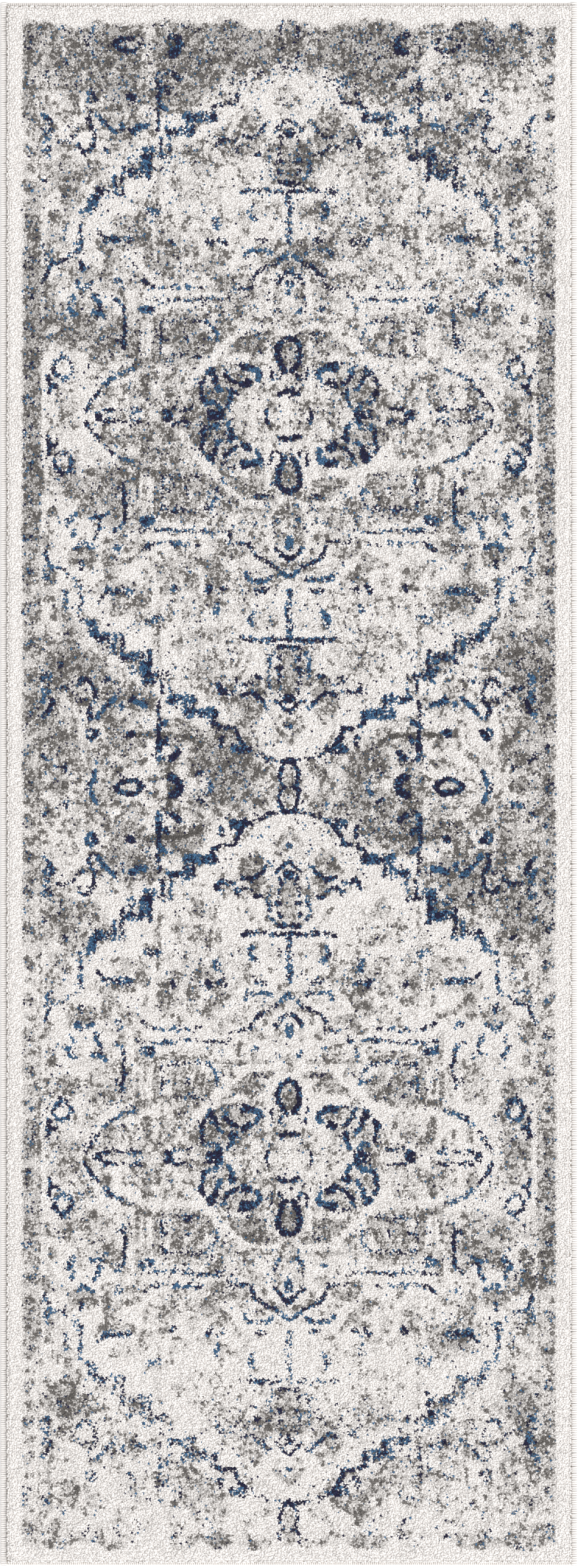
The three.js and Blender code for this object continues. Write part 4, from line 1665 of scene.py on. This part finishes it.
def row_tree() -> NodeModifier:
    """Build the tree that sets one shape on each point of a row.

    Returns:
        The modifier, with the shape, its turn and its unevenness as inputs.
    """
    made = NodeModifier(
        "row",
        {
            "Shape": ("NodeSocketObject", None),
            "Turn": ("NodeSocketFloat", 0.0),
            "Slant": ("NodeSocketFloat", 0.0),
            "Spread": ("NodeSocketFloat", 0.05),
            "Seed": ("NodeSocketInt", 1),
            "Material": ("NodeSocketMaterial", None),
        },
    )
    tree, start = made.tree, made.start.outputs
    shape = add(tree, "GeometryNodeObjectInfo", links={"Object": start["Shape"]})
    minus = add(tree, "ShaderNodeMath", {"operation": "MULTIPLY", 1: -1.0}, {0: start["Slant"]})
    slant = add(
        tree,
        "FunctionNodeRandomValue",
        {"data_type": "FLOAT"},
        {2: minus.outputs[0], 3: start["Slant"], "Seed": start["Seed"]},
    )
    turned = {0: slant.outputs[1], 1: start["Turn"]}
    turn = add(tree, "ShaderNodeMath", {"operation": "ADD"}, turned)
    about = add(tree, "ShaderNodeCombineXYZ", links={"Z": turn.outputs[0]})
    size = uneven_size(tree, start)
    scale = add(tree, "ShaderNodeCombineXYZ", {"X": 1.0}, {"Y": size, "Z": size})
    row = add(
        tree,
        "GeometryNodeInstanceOnPoints",
        links={
            "Points": start["Geometry"],
            "Instance": shape.outputs["Geometry"],
            "Rotation": about.outputs[0],
            "Scale": scale.outputs[0],
        },
    )
    real = add(tree, "GeometryNodeRealizeInstances", links={0: row.outputs["Instances"]})
    made.end(real.outputs[0])
    return made


def lay_row(
    name: str,
    tree: NodeModifier,
    shape: tuple[np.ndarray, list],
    points: np.ndarray,
    values: dict[str, object],
) -> bpy.types.Object:
    """Set copies of one small shape on a row of points, as one mesh.

    Args:
        name: The piece's name.
        tree: The tree that row_tree made.
        shape: Points in millimetres and faces of the shape.
        points: Where the copies go, in millimetres.
        values: The tree's other inputs.

    Returns:
        The piece.
    """
    template = mesh_object(f"{name}_shape", shape[0] * MM, shape[1])
    template.data.shade_smooth()
    piece = mesh_object(name, points * MM, [])
    tree.apply(piece, {"Shape": template, **values})
    spent = template.data
    bpy.data.objects.remove(template)
    bpy.data.meshes.remove(spent)
    return piece


class Edge(Enum):
    """The rug's four edges: the way in from each, and the turn that points a stitch that way."""

    LEFT = ((1, 0), 0.0)
    RIGHT = ((-1, 0), math.pi)
    FOOT = ((0, 1), math.pi / 2)
    HEAD = ((0, -1), -math.pi / 2)

    @property
    def inward(self) -> np.ndarray:
        """Give the direction in from the edge."""
        return np.array(self.value[0], float)

    @property
    def turn(self) -> float:
        """Give the turn about Z of a stitch whose own X points inwards."""
        return self.value[1]


@dataclass
class SewnEdge:
    """Yarn wound round one edge, side by side, with the needle thread along its inner side."""

    edge: Edge
    wrap_name: str
    core_name: str
    wrap_slot: str
    pitch: float
    wall: float
    yarn: TwistedYarn
    thread: TwistedYarn
    core: TwistedYarn
    seed: int
    sole: float = 0.5
    slant: float = 0.05
    spread: float = 0.035

    def node(self, name: str) -> str:
        """Give the full name of one of this edge's CAD nodes."""
        return f"{self.edge.name.lower()}_{name}"

    def extent(self, node: str) -> tuple[float, float, float, float, float, float]:
        """Give a node's reach inwards, along and up, in the edge's own frame.

        Args:
            node: The CAD node.

        Returns:
            Least and greatest distance in from the edge, then along it, then height.
        """
        low, high = node_box(node)
        axis = 0 if self.edge.inward[0] else 1
        if self.edge.inward[axis] > 0:
            reach = low[axis] - WHOLE_LOW[axis], high[axis] - WHOLE_LOW[axis]
        else:
            reach = WHOLE_HIGH[axis] - high[axis], WHOLE_HIGH[axis] - low[axis]
        return *reach, low[1 - axis], high[1 - axis], low[2], high[2]

    def row(self, near: float, far: float, pitch: float, inward: float, height: float) -> np.ndarray:
        """Give evenly spaced points along the edge.

        Args:
            near: Where the row starts along the edge.
            far: Where it ends.
            pitch: Roughly how far apart the points lie.
            inward: How far in from the edge they lie.
            height: How high they lie.

        Returns:
            The points in the rug's frame, in millimetres.
        """
        count = round((far - near) / pitch)
        along = near + (np.arange(count) + 0.5) * (far - near) / count
        axis = 0 if self.edge.inward[0] else 1
        forward = self.edge.inward[axis] > 0
        place = WHOLE_LOW[axis] + inward if forward else WHOLE_HIGH[axis] - inward
        points = np.empty((count, 3))
        points[:, axis] = place
        points[:, 1 - axis] = along
        points[:, 2] = height
        return points

    def wrap_shape(self, width: float, top: float, mouth: float) -> tuple[np.ndarray, list]:
        """Make one turn of the yarn: under the edge, round it, and down onto the face.

        Args:
            width: How far in the yarn reaches.
            top: Height of its highest place.
            mouth: Height of its inner end on the face.

        Returns:
            Points and faces, X pointing in from the edge.
        """
        half = self.wall / 2
        radius = (top - self.sole / 2 - half) / 2
        middle = self.sole / 2 + radius
        centre = radius + half
        path = [(width - 0.6, self.sole / 2), (centre + 0.8, self.sole / 2)]
        for step in range(6):
            angle = math.pi * (1.5 - step / 5)
            path.append((centre + radius * math.cos(angle), middle + radius * math.sin(angle)))
        path.append((centre + 0.45 * (width - centre), top - half - 0.02 * (top - mouth)))
        path.append((centre + 0.9 * (width - centre), top - half - 0.07 * (top - mouth)))
        path.append((width - 0.4, mouth))
        depths = np.full(len(path), half * 1.1)
        depths[:3] = self.sole / 2
        wide = np.full(len(path), self.pitch * 0.56)
        wide[-1] *= 0.62
        wide[0] *= 0.7
        return tube(np.array(path), wide, depths)

    def build(self, tree: NodeModifier) -> list[bpy.types.Object]:
        """Wind the yarn, sew the thread and dress the core.

        Args:
            tree: The tree that row_tree made.

        Returns:
            The two finished pieces.
        """
        _, width, near, far, _, top = self.extent(self.node(self.wrap_name))
        mouth = node_box("upper_weft")[1][2] + self.wall / 2
        shape = self.wrap_shape(width, top, mouth)
        values = {"Turn": self.edge.turn, "Slant": self.slant, "Spread": self.spread, "Seed": self.seed}
        side = self.edge.name.lower()
        wraps = lay_row(
            f"{side}_edge_wraps",
            tree,
            shape,
            self.row(near, far, self.pitch, 0.0, 0.0),
            {**values, "Material": self.yarn.material()},
        )
        hand_over(wraps, [self.node(self.wrap_name)])
        least, most, near, far, low, high = self.extent(self.node("needle_thread"))
        stitches = lay_row(
            f"{side}_edge_stitches",
            tree,
            bead(self.pitch * 0.96, (high - low) / 2),
            self.row(near, far, self.pitch, (least + most) / 2, (low + high) / 2),
            {**values, "Material": self.thread.material()},
        )
        hand_over(stitches, [self.node("needle_thread")])
        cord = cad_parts[self.node(self.core_name)]
        dress(cord, self.core.material())
        log.info("%s: dressed", cord.name)
        return [wraps, stitches]


# ------------------------------------------------------------------ ground cloth and back


@dataclass
class GroundCloth:
    """The woven ground: two rows of jute shots with straight stuffer ends between them."""

    shot_pitch: float = SHOT_PITCH
    end_pitch: float = END_PITCH
    fill: float = 0.8  # how wide a yarn is, for each pitch
    jute: TwistedYarn = TwistedYarn(
        "raw_jute_yarn", "#c2a678", "#8c7148", (0.15, 1.0, 1.0), 0.9, 0.95, 0.35, 0.05
    )
    cotton: TwistedYarn = TwistedYarn(
        "twisted_cotton_warp", "#ddd5c4", "#b3aa97", (1.0, 0.15, 1.0), 0.8, 0.9, 0.2, 0.05
    )

    @staticmethod
    def bar(length: float, wide: float, thick: float, crosswise: bool) -> tuple[np.ndarray, list]:
        """Make one straight yarn of six sides.

        Args:
            length: Its length in millimetres.
            wide: Its width.
            thick: Its thickness.
            crosswise: Whether it runs along X, and not along Y.

        Returns:
            Points and faces, faces pointing out.
        """
        turns = [math.pi * side / 3 for side in range(6)]
        ring = [(wide / 2 * math.cos(t), thick / 2 * math.sin(t) / math.sin(math.pi / 3)) for t in turns]
        points = [(across, end, up) for end in (-length / 2, length / 2) for across, up in ring]
        faces = [(s, 6 + s, 6 + (s + 1) % 6, (s + 1) % 6) for s in range(6)]
        faces += [tuple(range(6)), tuple(range(11, 5, -1))]
        points = np.array(points)
        if crosswise:
            points = np.stack([points[:, 1], -points[:, 0], points[:, 2]], 1)
        return points, faces

    def layer(
        self, name: str, node: str, tree: NodeModifier, yarn: TwistedYarn, crosswise: bool
    ) -> bpy.types.Object:
        """Lay one layer of yarns side by side.

        Args:
            name: The piece's name.
            node: The CAD node that it stands for.
            tree: The tree that row_tree made.
            yarn: The yarns' finish.
            crosswise: Whether the yarns run across the rug.

        Returns:
            The finished piece.
        """
        low, high = node_box(node)
        run, step = (0, 1) if crosswise else (1, 0)
        pitch = self.shot_pitch if crosswise else self.end_pitch
        count = int((high[step] - low[step]) / pitch)
        points = np.zeros((count, 3))
        points[:, step] = low[step] + (np.arange(count) + 0.5) * (high[step] - low[step]) / count
        points[:, 2] = (low[2] + high[2]) / 2
        bar = self.bar(high[run] - low[run], pitch * self.fill, high[2] - low[2], crosswise)
        values = {"Turn": 0.0, "Slant": 0.0, "Spread": 0.0, "Seed": 3, "Material": yarn.material()}
        return hand_over(lay_row(name, tree, bar, points, values), [node])

    def build(self, tree: NodeModifier) -> list[bpy.types.Object]:
        """Lay the three layers.

        Args:
            tree: The tree that row_tree made.

        Returns:
            The finished pieces.
        """
        return [
            self.layer("lower_jute_shots", "lower_weft", tree, self.jute, True),
            self.layer("stuffer_ends", "stuffer_warp", tree, self.cotton, False),
            self.layer("upper_jute_shots", "upper_weft", tree, self.jute, True),
        ]


@dataclass
class CoatedBack:
    """The back: a thin skin of dried latex that follows the ribs of the jute shots."""

    rib_pitch: float = SHOT_PITCH
    rib_depth: float = 0.22
    rib_steps: int = 4
    columns: int = 8
    finish: LatexSize = LatexSize()

    def build(self, floor: bpy.types.Object) -> bpy.types.Object:
        """Make the ribbed skin, one closed sheet.

        Args:
            floor: What the rug lies on; not used.

        Returns:
            The finished piece.
        """
        low, high = node_box("back_coating")
        ribs = round((high[1] - low[1]) / self.rib_pitch)
        rows = ribs * self.rib_steps + 1
        x = np.linspace(low[0], high[0], self.columns + 1)
        y = np.linspace(low[1], high[1], rows)
        across, along = np.meshgrid(x, y)
        wave = 0.5 + 0.5 * np.cos(2 * math.pi * ribs * (along - low[1]) / (high[1] - low[1]))
        under = low[2] + self.rib_depth * wave
        over = np.full(under.shape, high[2])
        points = np.concatenate(
            [np.stack([across, along, height], -1).reshape(-1, 3) for height in (under, over)]
        )
        wide, count = self.columns + 1, rows * (self.columns + 1)
        faces = []
        for j in range(rows - 1):
            for i in range(self.columns):
                a = j * wide + i
                faces.append((a, a + wide, a + wide + 1, a + 1))
                faces.append((a + count, a + count + 1, a + count + wide + 1, a + count + wide))
        south = list(range(wide))
        east = [j * wide + self.columns for j in range(rows)]
        north = [(rows - 1) * wide + i for i in range(self.columns, -1, -1)]
        west = [j * wide for j in range(rows - 1, -1, -1)]
        for side in (south, east, north, west):
            faces += [(a, b, b + count, a + count) for a, b in zip(side, side[1:])]
        piece = mesh_object("coated_back", points * MM, faces)
        piece.data.shade_smooth()
        hand_over(piece, ["back_coating"], self.finish.material())
        return piece


# ------------------------------------------------------------------ studio


@dataclass
class Studio:
    """A pale floor, soft even light and a camera straight above the rug."""

    view_length: float = 2138.6  # mm of the rug's length that the camera takes in
    lens: float = 100.0
    sensor: float = 36.0
    sun_strength: float = 2.2
    sun_angle: float = 50.0
    sun_from: tuple[float, float, float] = (0.45, -0.25, 1)
    sky_strength: float = 0.78
    floor_size: float = 30.0
    floor_finish: StudioFloor = StudioFloor()

    def camera(self) -> None:
        """Set the camera above the middle of the rug, looking straight down."""
        top = cad_bounds[1][2]
        data = bpy.data.cameras.new("camera")
        data.lens = self.lens
        data.sensor_width = self.sensor
        data.sensor_fit = "AUTO"
        made = bpy.data.objects.new("camera", data)
        made.location = (0, 0, top + self.view_length * MM * self.lens / self.sensor)
        bpy.context.scene.collection.objects.link(made)
        bpy.context.scene.camera = made

    def light(self) -> None:
        """Light the rug from the whole sky and, a little more, from above its right foot corner."""
        scene = bpy.context.scene
        scene.view_settings.view_transform = "Standard"
        scene.world = bpy.data.worlds.new("studio")
        scene.world.use_nodes = True
        sky = scene.world.node_tree.nodes["Background"]
        sky.inputs["Color"].default_value = (1, 1, 1, 1)
        sky.inputs["Strength"].default_value = self.sky_strength
        data = bpy.data.lights.new("softbox", "SUN")
        data.energy = self.sun_strength
        data.angle = math.radians(self.sun_angle)
        made = bpy.data.objects.new("softbox", data)
        made.rotation_euler = Vector(self.sun_from).to_track_quat("Z", "Y").to_euler()
        scene.collection.objects.link(made)

    def floor(self) -> bpy.types.Object:
        """Lay the floor.

        Returns:
            The floor.
        """
        half = self.floor_size / 2
        corners = [(-half, -half, 0), (half, -half, 0), (half, half, 0), (-half, half, 0)]
        made = mesh_object("studio_floor", np.array(corners), [(0, 1, 2, 3)])
        made.data.materials.append(self.floor_finish.material())
        return made


# ------------------------------------------------------------------ the whole rug


def sewn_edges() -> list[SewnEdge]:
    """List the four sewn edges with their yarns.

    Returns:
        The two serged sides, then the two overlocked ends.
    """
    serging = TwistedYarn(
        "bulked_serging_yarn_ivory", "#e9e5e2", "#d5d0cc", (0.22, 1.0, 0.22), 0.8, 0.85, 0.3
    )
    overlock = TwistedYarn(
        "fine_overlock_yarn_cream", "#e5e0dc", "#bcb4ac", (1.0, 0.22, 0.22), 0.7, 0.88, 0.3
    )
    thread_side = TwistedYarn(
        "polyester_needle_thread", "#f2eee8", "#c9c3ba", (1.0, 0.3, 1.0), 0.5, 0.5, 0.15, 0.0
    )
    thread_end = TwistedYarn(
        "polyester_needle_thread_ends", "#e2dacd", "#a69c90", (0.3, 1.0, 1.0), 0.5, 0.5, 0.15, 0.0
    )
    filler = TwistedYarn(
        "soft_filler_cord", "#dcd2c0", "#b1a48c", (1.0, 0.3, 1.0), 1.2, 0.92, 0.5, 0.05
    )
    header = TwistedYarn(
        "rolled_jute_header", "#c2a678", "#8c7148", (0.3, 1.0, 1.0), 1.2, 0.95, 0.5, 0.05
    )
    sides = [
        SewnEdge(
            edge, "side_serging", "selvedge_cord", "serging_yarn",
            pitch, 1.0, serging, thread_side, filler, seed,
        )
        for edge, pitch, seed in ((Edge.LEFT, 2.96, 21), (Edge.RIGHT, 3.07, 22))
    ]
    ends = [
        SewnEdge(
            edge, "end_overlock", "header_roll", "overlock_yarn",
            2.78, 0.8, overlock, thread_end, header, seed,
        )
        for edge, seed in ((Edge.FOOT, 23), (Edge.HEAD, 24))
    ]
    return sides + ends


def main() -> None:
    """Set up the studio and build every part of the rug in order."""
    logging.basicConfig(level=logging.INFO, format="%(name)s: %(message)s", stream=sys.stdout)
    studio = Studio()
    studio.camera()
    studio.light()
    floor = studio.floor()
    tree = row_tree()
    CoatedBack().build(floor)
    GroundCloth().build(tree)
    for edge in sewn_edges():
        edge.build(tree)
    PileField().build()


if __name__ == "__main__":
    main()
